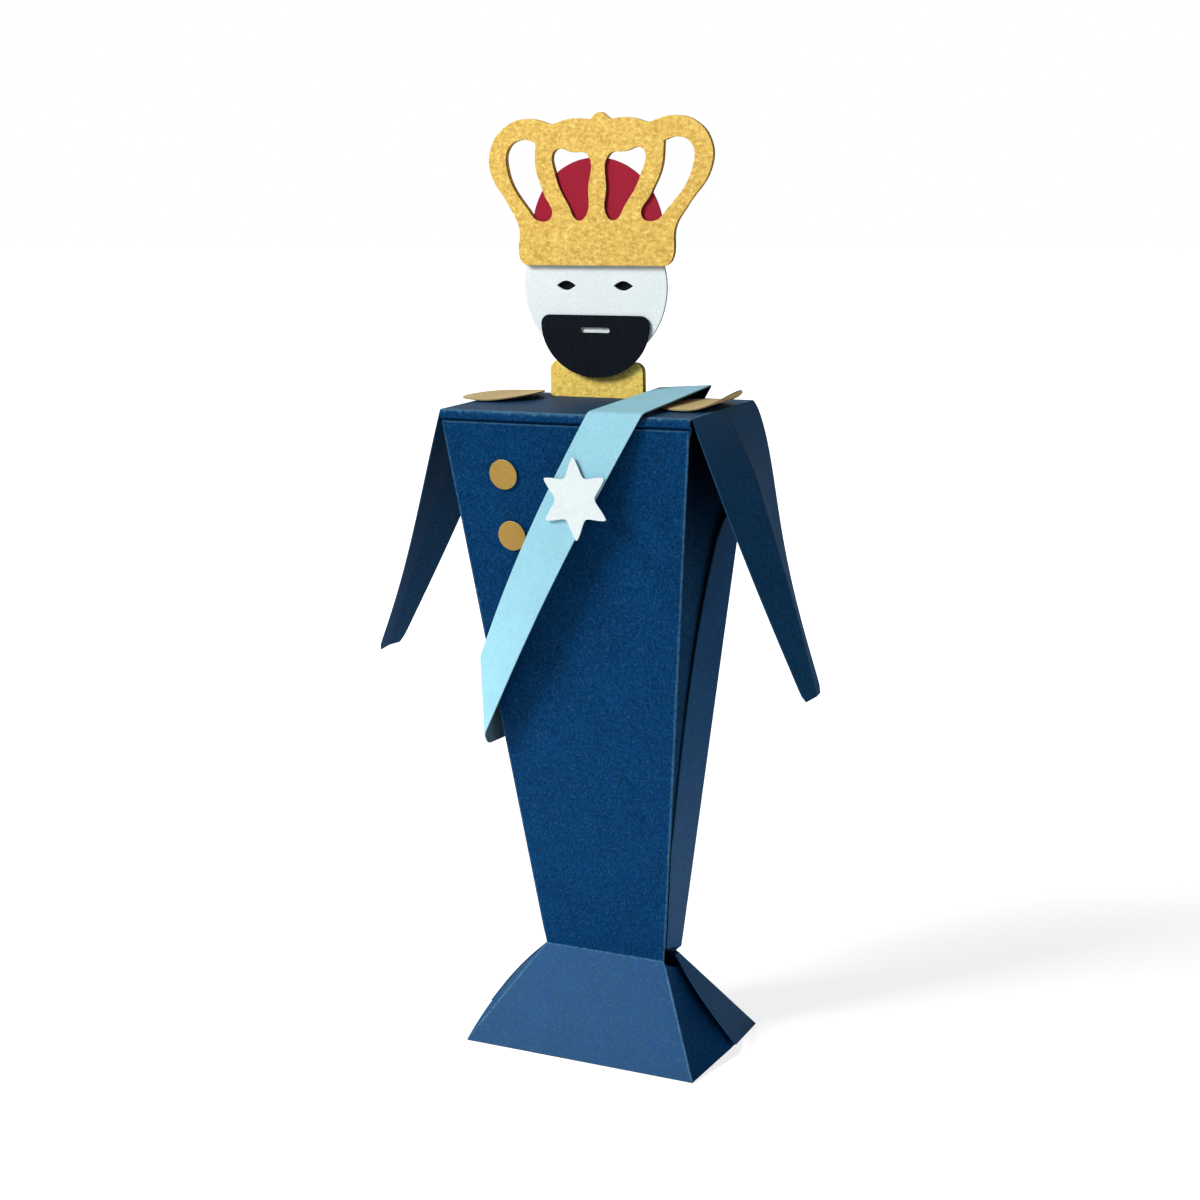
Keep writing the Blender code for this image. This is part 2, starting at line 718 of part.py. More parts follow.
def right_epaulette():
    """Disc half under the sash, curling up past the shoulder."""
    bm = bmesh.new()
    bmesh.ops.create_grid(bm, x_segments=12, y_segments=12, size=EPAULETTE_RADIUS)
    for vert in bm.verts:
        across = vert.co.x / EPAULETTE_RADIUS
        along = vert.co.y / EPAULETTE_RADIUS
        x = across * math.sqrt(1 - along * along / 2)
        y = along * math.sqrt(1 - across * across / 2)
        curl = max(0.0, x - 0.1) / 0.9
        vert.co = (x * EPAULETTE_RADIUS, y * EPAULETTE_RADIUS, EPAULETTE_CURL * curl ** 2)
    mesh = bpy.data.meshes.new("right_epaulette")
    bm.to_mesh(mesh)
    bm.free()
    location = (RIGHT_EPAULETTE_X, RIGHT_EPAULETTE_Y, lying_disc_z())
    thicken(place("right_epaulette", mesh, TAN, location, metallic=0.2))


def button(name, x, z):
    """Small disc glued on the chest panel, in the panel's plane."""
    curve = flat_curve(name, CARD)
    add_polygon(curve, circle((0.0, 0.0), BUTTON_RADIUS, 40))
    lean_back = math.atan2(front_y(KNEE_Z) - front_y(CHEST_TOP_Z), CHEST_TOP_Z - KNEE_Z)
    y = front_y(z) - LAYER * math.cos(lean_back)
    place(name, curve, GOLD, (x, y, z), (math.pi / 2 + lean_back, 0.0, 0.0), 0.3)


def sash_top():
    """Upper and lower edge points of the sash's fold over the front of the shoulder plate."""
    front = front_y(plate_z()) - SASH_FRONT_STAND
    top = plate_z() + CARD / 2 + SASH_LIFT
    return Vector((SASH_TOP_LEFT_X, front, top)), Vector((SASH_TOP_LEFT_X + SASH_TOP_WIDTH, front, top))


def sash_side_x():
    return -(half_width(SASH_SIDE_TOP_Z) + LAYER + SASH_SIDE_STAND)


def sash_side_middle_z():
    return (SASH_SIDE_TOP_Z + SASH_SIDE_BOTTOM_Z) / 2


def sash_corner():
    """Upper and lower edge points of the sash's fold in front of the body's left side."""
    side = sash_side_x()
    y = front_y(sash_side_middle_z()) - SASH_SIDE_FRONT_STAND
    upper = Vector((side + SASH_CORNER_TOP_LEAN, y, SASH_SIDE_TOP_Z))
    lower = Vector((side + SASH_CORNER_LOW_LEAN, y, SASH_SIDE_BOTTOM_Z))
    return upper, lower


def sash_front(share):
    """Edge points of the front leg, which bows forward on its way from the top to the corner."""
    bow = Vector((0.0, -SASH_FRONT_BOW * math.sin(math.pi * share), 0.0))
    upper, lower = (top.lerp(corner, share) + bow for top, corner in zip(sash_top(), sash_corner()))
    return upper, lower


def sash_back_stations():
    """Edge points at the folds round the left side, up the back and behind the shoulder plate."""
    side = sash_side_x()
    upper = SASH_SIDE_TOP_Z
    lower = SASH_SIDE_BOTTOM_Z
    front = sash_corner()[0].y
    rear = rear_y(sash_side_middle_z()) + SASH_SIDE_REAR_STAND
    turn = front + SASH_TURN_RUN
    turn_z = lower - SASH_SIDE_DROP * SASH_TURN_DROP_SHARE
    tuck = (front + rear) / 2
    plate_rear = rear_y(plate_z()) + SASH_REAR_STAND
    left, right = sash_top()
    rear_top = left.z + SASH_REAR_LIFT
    return [
        (Vector((side, turn, upper - SASH_TURN_SAG)), Vector((side + SASH_TURN_LEAN, turn, turn_z))),
        (Vector((side, tuck, upper - SASH_TUCK_SAG)),
         Vector((side + SASH_TUCK_LEAN, tuck, lower - SASH_SIDE_DROP))),
        (Vector((side, rear, upper)), Vector((side + SASH_REAR_LEAN, rear, lower))),
        (Vector((left.x, plate_rear, rear_top)), Vector((right.x, plate_rear, rear_top + SASH_REAR_TWIST))),
    ]


def sash():
    """Closed loop of strip: down the chest, round the left side, up the back and over the plate."""
    stations = [sash_front(i / SASH_BOW_FOLDS) for i in range(SASH_BOW_FOLDS + 1)]
    stations += sash_back_stations()
    points = {}
    faces = []
    for i, (upper, lower) in enumerate(stations):
        points["upper", i] = upper
        points["lower", i] = lower
        following = (i + 1) % len(stations)
        faces.append([("upper", i), ("lower", i), ("lower", following), ("upper", following)])
    thicken(place("sash", sheet("sash", points, faces), SKY))


def star():
    """Six-pointed star on the sash: its radius follows a power of a cosine round the middle."""
    upper, lower = sash_front(STAR_SHARE)
    higher, _ = sash_front(STAR_SHARE - 1 / SASH_BOW_FOLDS)
    deeper, _ = sash_front(STAR_SHARE + 1 / SASH_BOW_FOLDS)
    across = (lower - upper).normalized()
    along = (deeper - higher).normalized()
    normal = across.cross(along).normalized()
    if normal.y > 0:
        normal.negate()
    middle = upper.lerp(lower, STAR_ACROSS)
    curve = flat_curve("star", CARD)
    outline = []
    steps = 96
    for i in range(steps):
        angle = 2 * math.pi * i / steps
        swell = (0.5 + 0.5 * math.cos(6 * angle)) ** STAR_SHARPNESS
        radius = STAR_WAIST_RADIUS + (STAR_TIP_RADIUS - STAR_WAIST_RADIUS) * swell
        turned = angle + math.pi / 2 + STAR_TURN
        outline.append((radius * math.cos(turned) * STAR_SLIMNESS, radius * math.sin(turned)))
    add_polygon(curve, outline)
    piece = place("star", curve, WHITE)
    right = Vector((1.0, 0.0, 0.0)) - normal * normal.x
    right.normalize()
    up = normal.cross(right)
    axes = Matrix((right, up, normal)).transposed().to_4x4()
    axes.translation = middle + normal * LAYER
    piece.matrix_local = axes


# The whole figure


def make_floor_cutter():
    """A block that reaches from z = 0 down, wider than the skirt."""
    size = 4 * HEM_HALF_WIDTH
    bm = bmesh.new()
    bmesh.ops.create_cube(bm, size=size, matrix=Matrix.Translation((0.0, 0.0, -size / 2)))
    mesh = bpy.data.meshes.new("floor_cutter")
    bm.to_mesh(mesh)
    bm.free()
    block = bpy.data.objects.new("floor_cutter", mesh)
    block.hide_render = True
    block.display_type = "WIRE"
    cutters.objects.link(block)
    block.parent = figure_frame
    return block


def outline_shift():
    """How far right the figure stands of the origin: half the difference of the arms' reach."""
    left = ARM_LENGTH * math.sin(LEFT_ARM_SPREAD) + LEFT_ARM_CREASE * math.cos(LEFT_ARM_SPREAD)
    right = ARM_LENGTH * math.sin(RIGHT_ARM_SPREAD) + RIGHT_ARM_CREASE * math.cos(RIGHT_ARM_SPREAD)
    return (left - right) / 2


clear_scene()
figure = make_collection("paper_figure")
figure_frame = bpy.data.objects.new("figure_frame", None)
figure_frame.location = (outline_shift(), 0.0, 0.0)
figure.objects.link(figure_frame)
cutters = make_collection("cutters")
floor_cutter = make_floor_cutter()

front_shell()
rear_shell()
yoke_plate()
arm("left_arm", -1, LEFT_ARM_SPREAD, LEFT_ARM_CREASE, left_front_edge, even_dip)
arm("right_arm", 1, RIGHT_ARM_SPREAD, RIGHT_ARM_CREASE, even_dip, right_rear_edge)
neck("neck_front", NECK_X, NECK_Y, True)
neck("neck_rear", NECK_X + NECK_REAR_SHIFT, neck_rear_y(), False)
eye_backing()
face_disc()
beard()
cap_disc()
crown("front_crown", CROWN_X, crown_y())
crown("rear_crown", CROWN_X + REAR_CROWN_SHIFT, NECK_Y)
left_epaulette()
right_epaulette()
button("upper_button", UPPER_BUTTON_X, UPPER_BUTTON_Z)
button("lower_button", LOWER_BUTTON_X, LOWER_BUTTON_Z)
sash()
star()
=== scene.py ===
import math

import bmesh
import bpy
import numpy as np
from mathutils import Matrix


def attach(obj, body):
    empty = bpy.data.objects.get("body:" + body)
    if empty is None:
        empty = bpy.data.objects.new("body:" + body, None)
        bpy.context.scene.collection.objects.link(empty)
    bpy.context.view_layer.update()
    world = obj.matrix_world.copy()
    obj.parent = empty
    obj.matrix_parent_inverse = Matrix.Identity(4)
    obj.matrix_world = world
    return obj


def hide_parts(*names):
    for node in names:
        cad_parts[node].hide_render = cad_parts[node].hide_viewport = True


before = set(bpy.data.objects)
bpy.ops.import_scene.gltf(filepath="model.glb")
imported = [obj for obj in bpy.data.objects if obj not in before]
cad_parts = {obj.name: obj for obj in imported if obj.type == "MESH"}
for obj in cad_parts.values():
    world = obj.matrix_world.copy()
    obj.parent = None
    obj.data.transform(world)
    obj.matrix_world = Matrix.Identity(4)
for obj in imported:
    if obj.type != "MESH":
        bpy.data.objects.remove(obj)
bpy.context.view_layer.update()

# A standing paper figure of cut, folded and glued card. Lengths are named in millimetres times
# MM, as part.py has them, and places are seen from the middle of the body. The whole figure
# then stands FIGURE_X to the right of the world's origin.
MM = 0.001
CARD = 0.30 * MM
FACE_CARD = 0.60 * MM
GAP = 0.30 * MM
LAYER = CARD + GAP

# Body
CHEST_TOP_Z = 137.7 * MM
CHEST_HALF_WIDTH = 28.1 * MM
CHEST_FRONT_Y = -15.75 * MM
CHEST_REAR_Y = 16.5 * MM
KNEE_Z = 19.7 * MM
KNEE_HALF_WIDTH = 14.3 * MM
KNEE_FRONT_Y = -2.1 * MM
KNEE_REAR_Y = 5.0 * MM
REAR_KNEE_INSET = 1.0 * MM
NOTCH_Z = 20.8 * MM
FLAP_TOP_Z = 117.0 * MM
FLAP_TOP_RISE = 4.0 * MM
FRONT_FLAP_TOP_Y = 6.5 * MM
FRONT_FLAP_KNEE_Y = 1.5 * MM
REAR_FLAP_WAIST_Y = -5.15 * MM
REAR_FLAP_WAIST_Z = 48.0 * MM
REAR_FLAP_RUN = 7.0 * MM
REAR_FLAP_CURVE = 3.3
REAR_FLAP_CORNER = 1.3 * MM
REAR_FLAP_CORNER_SHARE = 0.04
REAR_FLAP_SPRING = 1.1 * MM
REAR_FLAP_FLUSH = 0.12 * MM
LEFT_FLAP_STEP_BACK = 1.0 * MM
FRONT_FLAP_TOP_Z = 137.4 * MM
# Heights between which the front side flaps darken upwards: painted shade for the arm's shadow over them
FRONT_FLAP_PAINTED_SHADE = (101.0 * MM, 133.0 * MM)
FLAP_BOTTOM_Z = 23.0 * MM
PANEL_BOW = 0.25 * MM

# Skirt
HEM_HALF_WIDTH = 27.2 * MM
HEM_HALF_DEPTH = 16.6 * MM
HEM_Z = 0.14 * MM
HEM_SIDE_BULGE = 2.4 * MM
HEM_SIDE_LIFT = 2.4 * MM
HEM_SIDE_Y = -0.2 * MM
SKIRT_NOTCH_SHARE = 0.03
SKIRT_FLAP_TOP_SHARE = 0.16
SKIRT_FLAP_BULGE = 1.3 * MM
SKIRT_TONGUE = 5.5 * MM
SKIRT_FLAP_SPRING = 1.3 * MM
RIGHT_SKIRT_BOW = -0.8 * MM
SKIRT_FLAP_DROP_SHARE = 0.10
SKIRT_FLAP_REST = 0.38 * MM
LEFT_SKIRT_BOW = 0.9 * MM
LEFT_SKIRT_SWELL = 1.6 * MM

# Shoulder plate and arms
PLATE_Z = CHEST_TOP_Z + 2.3 * MM
SHOULDER_HALF_WIDTH = 28.7 * MM
TAB_DEPTH = 14.0 * MM
TAB_TAPER = 2.5 * MM
TAB_TAPER_START = 1.0 * MM
PLATE_FOLD_RADIUS = 0.60 * MM
LIP_OVERHANG = 0.62 * MM
LIP_GROOVE = 0.9 * MM
LIP_GROOVE_HEIGHT = 0.45 * MM
LIP_SETBACK = 0.05 * MM
ARM_LENGTH = 61.5 * MM
HAND_HALF_WIDTH = 4.8 * MM
HAND_CORNER = 0.9 * MM
HAND_CORNER_SHARE = 0.035
ARM_EDGE_DIP = 0.6 * MM
LEFT_ARM_HOLLOW = 1.1 * MM
LEFT_HOLLOW_POWER = 1.4
RIGHT_ARM_SWELL = 0.95 * MM
RIGHT_SWELL_POWER = 0.65
RIGHT_ARM_CREASE = 2.3 * MM
LEFT_ARM_CREASE = 1.2 * MM
CREASE_WIDTH = 0.50 * MM
ARM_END_FLATNESS = 0.7
ARM_END_POWER = 4
ARM_OPENING_SHARE = 0.24
ARM_OPENING_POWER = 1.2
ARM_RIDGE_SOFTNESS = 0.006
ARM_RIDGE_CROWDING = 1.6
# Rows of an arm's grid at which the worn line along its edges and the crease along its ridge bend
ARM_EDGE_BEND = 16
ARM_CREASE_BENDS = [0, 3, 6, 10, -1]
RIGHT_ARM_SPREAD = math.radians(18.3)
LEFT_ARM_SPREAD = math.radians(23.7)

# Head
NECK_X = -5.65 * MM
NECK_Y = 11.5 * MM
NECK_WIDTH = 22.1 * MM
NECK_TOP_Z = CHEST_TOP_Z + 10.1 * MM
NECK_CORNER = 2.0 * MM
NECK_ROOT = 8.0 * MM
NECK_TONGUE_WIDTH = 12.0 * MM
NECK_TONGUE_TOP_Z = CHEST_TOP_Z + 21.8 * MM
NECK_REAR_SHIFT = 0.3 * MM
FACE_X = -5.1 * MM
FACE_Z = CHEST_TOP_Z + 26.3 * MM
FACE_RADIUS = 16.85 * MM
EYE_LENGTH = 4.6 * MM
EYE_HEIGHT = 2.0 * MM
EYE_MARGIN = 1.1 * MM
BEARD_X = -5.0 * MM
BEARD_TOP_Z = CHEST_TOP_Z + 20.1 * MM
BEARD_RADIUS = 12.85 * MM
BEARD_DROP = 13.3 * MM
BEARD_CORNER = 2.0 * MM
BEARD_CORNER_START = 15
MOUTH_WIDTH = 7.0 * MM
MOUTH_HEIGHT = 1.1 * MM
CAP_X = -3.9 * MM
CAP_Z = CHEST_TOP_Z + 37.6 * MM
CAP_RADIUS = 15.4 * MM
CAP_CUT_Z = CHEST_TOP_Z + 32.8 * MM
CROWN_X = -4.4 * MM
CROWN_BASE_Z = CHEST_TOP_Z + 30.6 * MM
CROWN_LEAN = 0.063
REAR_CROWN_SHIFT = -0.6 * MM
CROWN_KNOB_HEIGHT = 31.6
CROWN_HALF = [
    (16.6, 0.0, "corner"), (17.8, 1.1, "smooth"), (18.4, 8.1, "smooth"), (20.9, 12.4, "smooth"),
    (25.8, 20.1, "smooth"), (25.5, 25.3, "smooth"), (21.8, 29.4, "smooth"), (17.0, 30.6, "smooth"),
    (11.2, 29.3, "corner"), (6.9, 30.4, "smooth"), (2.3, 30.2, "corner"),
]
CROWN_OUTER_HOLE = [
    (15.0, 25.6, "corner"), (18.0, 26.3, "smooth"), (21.3, 24.7, "smooth"), (21.7, 20.4, "smooth"),
    (16.2, 11.6, "smooth"), (13.5, 9.3, "smooth"), (10.6, 10.2, "smooth"), (12.6, 15.0, "smooth"),
    (14.7, 20.2, "smooth"),
]
CROWN_INNER_HOLE = [
    (10.3, 23.9, "smooth"), (6.0, 23.5, "smooth"), (2.5, 22.9, "smooth"), (2.1, 16.0, "smooth"),
    (2.5, 10.3, "smooth"), (4.2, 9.4, "smooth"), (6.6, 12.5, "smooth"), (9.9, 18.7, "smooth"),
]

# Trim
EPAULETTE_RADIUS = 8.9 * MM
LEFT_EPAULETTE = (-25.2 * MM, 5.7 * MM)
RIGHT_EPAULETTE = (22.5 * MM, 2.0 * MM)
RIGHT_EPAULETTE_CURL = 3.2 * MM
RIGHT_CURL_START = 0.1
LEFT_EPAULETTE_LIFT = 0.9 * MM
LEFT_LIFT_POWER = 1.5
LEFT_EPAULETTE_DROOP = 0.5 * MM
LEFT_DROOP_START = 0.3
BUTTON_RADIUS = 3.175 * MM
UPPER_BUTTON = (-14.4 * MM, CHEST_TOP_Z - 10.8 * MM)
LOWER_BUTTON = (-13.6 * MM, CHEST_TOP_Z - 23.9 * MM)
STAR_TIP_RADIUS = 8.5 * MM
STAR_WAIST_RADIUS = 4.9 * MM
STAR_SLIMNESS = 0.92
STAR_SHARPNESS = 1.95
STAR_TIP_SOFTNESS = 0.06
STAR_TURN = math.radians(2.6)
STAR_SHARE = 0.27
STAR_ACROSS = 0.62
STAR_SPAN = 1 / 7

# Sash
SASH_TOP_LEFT_X = 6.5 * MM
SASH_TOP_WIDTH = 12.1 * MM
SASH_LIFT = 0.75 * MM
SASH_REAR_LIFT = 1.0 * MM
SASH_REAR_TWIST = 0.9 * MM
SASH_FRONT_STAND = 0.95 * MM
SASH_FRONT_BOW = 3.4 * MM
SASH_REAR_STAND = 1.1 * MM
SASH_SIDE_TOP_Z = 86.6 * MM
SASH_SIDE_BOTTOM_Z = 69.4 * MM
SASH_SIDE_DROP = 3.4 * MM
SASH_SIDE_STAND = 1.2 * MM
SASH_SIDE_FRONT_STAND = 3.4 * MM
SASH_SIDE_REAR_STAND = 1.5 * MM
SASH_CORNER_TOP_LEAN = 0.9 * MM
SASH_CORNER_LOW_LEAN = 1.3 * MM
SASH_TURN_RUN = 2.5 * MM
SASH_TURN_SAG = 1.0 * MM
SASH_TURN_LEAN = 0.6 * MM
SASH_TURN_DROP_SHARE = 0.8
SASH_TUCK_SAG = 1.6 * MM
SASH_TUCK_LEAN = 0.2 * MM
SASH_REAR_LEAN = 0.3 * MM
# How far each fold of the sash is rounded, from its front corner round the left side and up the back
SASH_FOLD_REACHES = [0.9 * MM, 1.4 * MM, 3.0 * MM, 1.5 * MM, 0.9 * MM, 1.1 * MM]


def arm_reach(spread, crease):
    """How far an arm's ridge reaches sideways from its fold at the hand."""
    return ARM_LENGTH * math.sin(spread) + crease * math.cos(spread)


LEFT_REACH = arm_reach(LEFT_ARM_SPREAD, LEFT_ARM_CREASE)
RIGHT_REACH = arm_reach(RIGHT_ARM_SPREAD, RIGHT_ARM_CREASE)
FIGURE_X = (LEFT_REACH - RIGHT_REACH) / 2
FIGURE_SHIFT = np.array([FIGURE_X, 0.0, 0.0])


# Shader building


def math_method(operation, swapped=False):
    """A method that adds a Math node of a value and another, swapped where the other stands first."""
    def method(self, other):
        inputs = (other, self) if swapped else (self, other)
        node = self.shader.node("ShaderNodeMath", {"operation": operation}, inputs)
        return Value(self.shader, node.outputs[0])
    return method


class Value:
    """A number socket of a shader, on which Python's arithmetic adds Math nodes."""

    __add__ = math_method("ADD")
    __radd__ = math_method("ADD", True)
    __sub__ = math_method("SUBTRACT")
    __rsub__ = math_method("SUBTRACT", True)
    __mul__ = math_method("MULTIPLY")
    __rmul__ = math_method("MULTIPLY", True)
    smallest = math_method("MINIMUM")

    def __init__(self, shader, socket):
        self.shader = shader
        self.socket = socket

    def step(self, low, high):
        """Rises smoothly from 0 at low to 1 at high."""
        settings = {"interpolation_type": "SMOOTHSTEP"}
        node = self.shader.node("ShaderNodeMapRange", settings, (self, low, high, 0.0, 1.0))
        return Value(self.shader, node.outputs[0])


class Shader:
    """A material under construction, around its Principled node."""

    def __init__(self, name):
        self.material = bpy.data.materials.new(name)
        self.material.use_nodes = True
        self.tree = self.material.node_tree
        self.surface = self.tree.nodes["Principled BSDF"]
        self.places = self.node("ShaderNodeTexCoord").outputs["Object"]

    def node(self, kind, settings=None, inputs=()):
        """Adds a node: its settings first, then its sockets' values or links, by place or by name."""
        made = self.tree.nodes.new(kind)
        for key, value in (settings or {}).items():
            setattr(made, key, value)
        pairs = inputs.items() if isinstance(inputs, dict) else enumerate(inputs)
        for key, value in pairs:
            self.feed(made.inputs[key], value)
        return made

    def feed(self, socket, value):
        """Links a value's socket to another, or writes a plain value into it."""
        if isinstance(value, Value):
            value = value.socket
        if isinstance(value, bpy.types.NodeSocket):
            self.tree.links.new(value, socket)
        else:
            socket.default_value = value

    def set(self, **inputs):
        """Feeds the Principled node's sockets, with _ for a space in their names."""
        for key, value in inputs.items():
            self.feed(self.surface.inputs[key.replace("_", " ")], value)

    def noise(self, size, detail=2.0, rough=0.5, stretch=(1.0, 1.0, 1.0), distortion=0.0):
        """Noise of 0 to 1 on object coordinates, with grains about size metres across."""
        where = self.node("ShaderNodeMapping", None, {"Vector": self.places, "Scale": stretch}).outputs[0]
        inputs = {
            "Vector": where, "Scale": 1 / size, "Detail": detail, "Roughness": rough,
            "Distortion": distortion,
        }
        return Value(self, self.node("ShaderNodeTexNoise", None, inputs).outputs[0])

    def mix(self, share, first, second):
        """A colour between two, by a share of 0 to 1."""
        return self.node("ShaderNodeMix", {"data_type": "RGBA"}, {0: share, 6: first, 7: second}).outputs[2]

    def tint(self, colour, shade):
        """A colour times a grey value."""
        grey = self.node("ShaderNodeCombineColor", None, (shade, shade, shade)).outputs[0]
        settings = {"data_type": "RGBA", "blend_type": "MULTIPLY"}
        return self.node("ShaderNodeMix", settings, {0: 1.0, 6: colour, 7: grey}).outputs[2]

    def bump(self, height, depth):
        """A normal bent by a height of 0 to 1 that stands for depth metres."""
        return self.node("ShaderNodeBump", None, {"Height": height, "Distance": depth}).outputs[0]

    def vector(self, operation, inputs, output=0):
        """An output of a new Vector Math node, with its inputs by place or by name."""
        return self.node("ShaderNodeVectorMath", {"operation": operation}, inputs).outputs[output]

    def distance(self, start, end):
        """Distance in metres from the shaded point to the straight line between two points."""
        way = np.subtract(end, start)
        offset = self.vector("SUBTRACT", (self.places, tuple(start)))
        along = self.vector("DOT_PRODUCT", (offset, tuple(way / way.dot(way))), "Value")
        share = self.node("ShaderNodeClamp", None, {"Value": along}).outputs[0]
        foot = self.vector("SCALE", {0: tuple(way), "Scale": share})
        away = self.vector("SUBTRACT", (offset, foot))
        return Value(self, self.vector("LENGTH", (away,), "Value"))

    def height(self):
        """Height in metres of the shaded point above the floor."""
        return Value(self, self.vector("DOT_PRODUCT", (self.places, (0.0, 0.0, 1.0)), "Value"))

    def nearest(self, lines):
        """Distance in metres from the shaded point to the nearest of several lines."""
        away = self.distance(*lines[0])
        for line in lines[1:]:
            away = away.smallest(self.distance(*line))
        return away


def grey(level):
    return (level, level, level, 1.0)


def opaque(colour):
    return (*colour, 1.0)


# Card finishes

NAVY = (0.0014, 0.0385, 0.126)
# Greyer copy of the navy for the front side flaps, which have no specular: painted sheen
NAVY_SIDE_PAINTED_SHEEN = (0.0100, 0.0440, 0.105)
# Darker, greyer copy of the navy for the shoulder plate's top: painted shade and painted sheen
NAVY_TOP_PAINTED_SHADE = (0.0055, 0.0370, 0.090)
# Darker copy of the navy for the left arm: painted shade
NAVY_LEFT_ARM_PAINTED_SHADE = (0.0010, 0.0380, 0.102)
# Lighter copy of the navy for the right arm: painted light
NAVY_RIGHT_ARM_PAINTED_LIGHT = (0.0090, 0.0690, 0.176)
# Lighter copy of the navy for the rear card: painted light
NAVY_REAR_PAINTED_LIGHT = (0.0040, 0.0560, 0.155)
# Lighter copy of the navy for the skirt panels and the left skirt flap: painted light
NAVY_SKIRT_PAINTED_LIGHT = (0.0025, 0.0450, 0.158)
NAVY_WORN = (0.060, 0.190, 0.360)
NAVY_RUBBED = (0.130, 0.310, 0.480)
SHEEN = (0.400, 0.780, 1.000)
NAVY_CORE = (0.045, 0.120, 0.220)
# Dark cut edge for the arms and the rear card; along both skirts' hems it is painted shade
ARM_CORE = (0.016, 0.065, 0.135)
GOLD = (0.780, 0.520, 0.112)
# Lighter and darker gold that follow the emboss: painted highlight on its ridges, painted shade in its
# hollows
GOLD_RIDGE_PAINTED_HIGHLIGHT = (0.970, 0.730, 0.225)
GOLD_HOLLOW_PAINTED_SHADE = (0.560, 0.350, 0.068)
GOLD_CORE = (0.220, 0.150, 0.070)
GOLD_GAIN = 1.06
# Brighter gold for the front neck strip: painted light
NECK_PAINTED_LIGHT_GAIN = 1.45
BUTTON_GOLD = (0.437, 0.270, 0.063)
BUTTON_CORE = (0.760, 0.610, 0.330)
TAN = (0.600, 0.450, 0.190)
TAN_CORE = (0.380, 0.300, 0.180)
SKY = (0.335, 0.655, 0.780)
# Dark back of the sash: painted shade, and darker still where it lies high: painted shadow
SKY_PAINTED_SHADE_BACK = (0.090, 0.160, 0.200)
SKY_PAINTED_DEEP_SHADE_BACK = (0.010, 0.022, 0.032)
# Darkened cut edge of the sash: painted shade on edges turned from the light
SKY_CORE_PAINTED_SHADE = (0.200, 0.360, 0.420)
RED = (0.375, 0.0175, 0.041)
RED_CORE = (0.140, 0.010, 0.020)
WHITE = (0.790, 0.875, 0.885)
FACE_WHITE = (0.875, 0.955, 0.960)
WHITE_CORE = (0.500, 0.540, 0.550)
BLACK = (0.0080, 0.0110, 0.0165)
BLACK_CORE = (0.015, 0.017, 0.022)


def plain_card(name, colour, grain=0.5, mottle=0.2, roughness=0.62, specular=0.05, depth=0.020 * MM,
               metallic=0.0):
    """Uncoated card: colour broken by fine fibres and broad cloudiness, with a felt of fibres as bump."""
    shader = Shader(name)
    fibre = shader.noise(0.42 * MM, 3.0, 0.65)
    cloud = shader.noise(6.0 * MM, 2.0, 0.5)
    shade = 1.0 + (fibre - 0.5) * grain + (cloud - 0.5) * mottle
    shader.set(
        Base_Color=shader.tint(opaque(colour), shade),
        Roughness=roughness + (fibre - 0.5) * 0.2,
        Specular_IOR_Level=specular,
        Normal=shader.bump(fibre, depth),
        Metallic=metallic,
    )
    return shader.material


def cut_edge(name, colour):
    """The card's cut edge: bare fibres, rougher and uneven in shade."""
    shader = Shader(name)
    fibre = shader.noise(0.20 * MM, 3.0, 0.7)
    shader.set(
        Base_Color=shader.tint(opaque(colour), 0.75 + fibre * 0.5),
        Roughness=0.9,
        Specular_IOR_Level=0.1,
        Normal=shader.bump(fibre, 0.03 * MM),
    )
    return shader.material


def navy_card(name, folds, wear_width=0.40 * MM, tone=NAVY, rub=0.55, sheen=0.03, grain=1.6,
              creases=(), painted_shade_heights=None):
    """Navy card with light flecks, rubbed pale in broken patches along fold lines, with painted shade along
    creases.

    Between two given heights it darkens to a twelfth of its colour: painted shade for the arm's shadow.
    """
    shader = Shader(name)
    fibre = shader.noise(0.50 * MM, 2.0, 0.6, (1.0, 1.0, 0.6))
    cloud = shader.noise(7.0 * MM, 2.0, 0.5)
    flecks = shader.noise(0.40 * MM, 1.0, 0.5).step(0.50, 0.75)
    shade = 0.95 + (fibre - 0.5) * grain + (cloud - 0.5) * 0.4
    colour = shader.mix(flecks * (grain * 0.12), shader.tint(opaque(tone), shade), opaque(NAVY_WORN))
    # Painted shade: darker upwards between the two heights, for the arm's shadow
    if painted_shade_heights:
        colour = shader.tint(colour, 1.0 - shader.height().step(*painted_shade_heights) * 0.92)
    if creases:
        # Painted shade: darker along the creases
        crease_shade = 1.0 - shader.nearest(creases).step(CREASE_WIDTH / 3, CREASE_WIDTH)
        colour = shader.tint(colour, 1.0 - crease_shade * 0.65)
    away = shader.nearest(folds)
    patches = shader.noise(1.1 * MM, 3.0, 0.7)
    rubbed = 1.0 - (away + (patches - 0.5) * (1.6 * wear_width)).step(0.1 * wear_width, wear_width)
    shader.set(
        Base_Color=shader.mix(rubbed * rub, colour, opaque(NAVY_RUBBED)),
        Roughness=0.52 + (fibre - 0.5) * 0.3 + rubbed * 0.2,
        Specular_IOR_Level=sheen,
        Specular_Tint=opaque(SHEEN),
        Normal=shader.bump(fibre + rubbed * patches, 0.030 * MM),
    )
    return shader.material


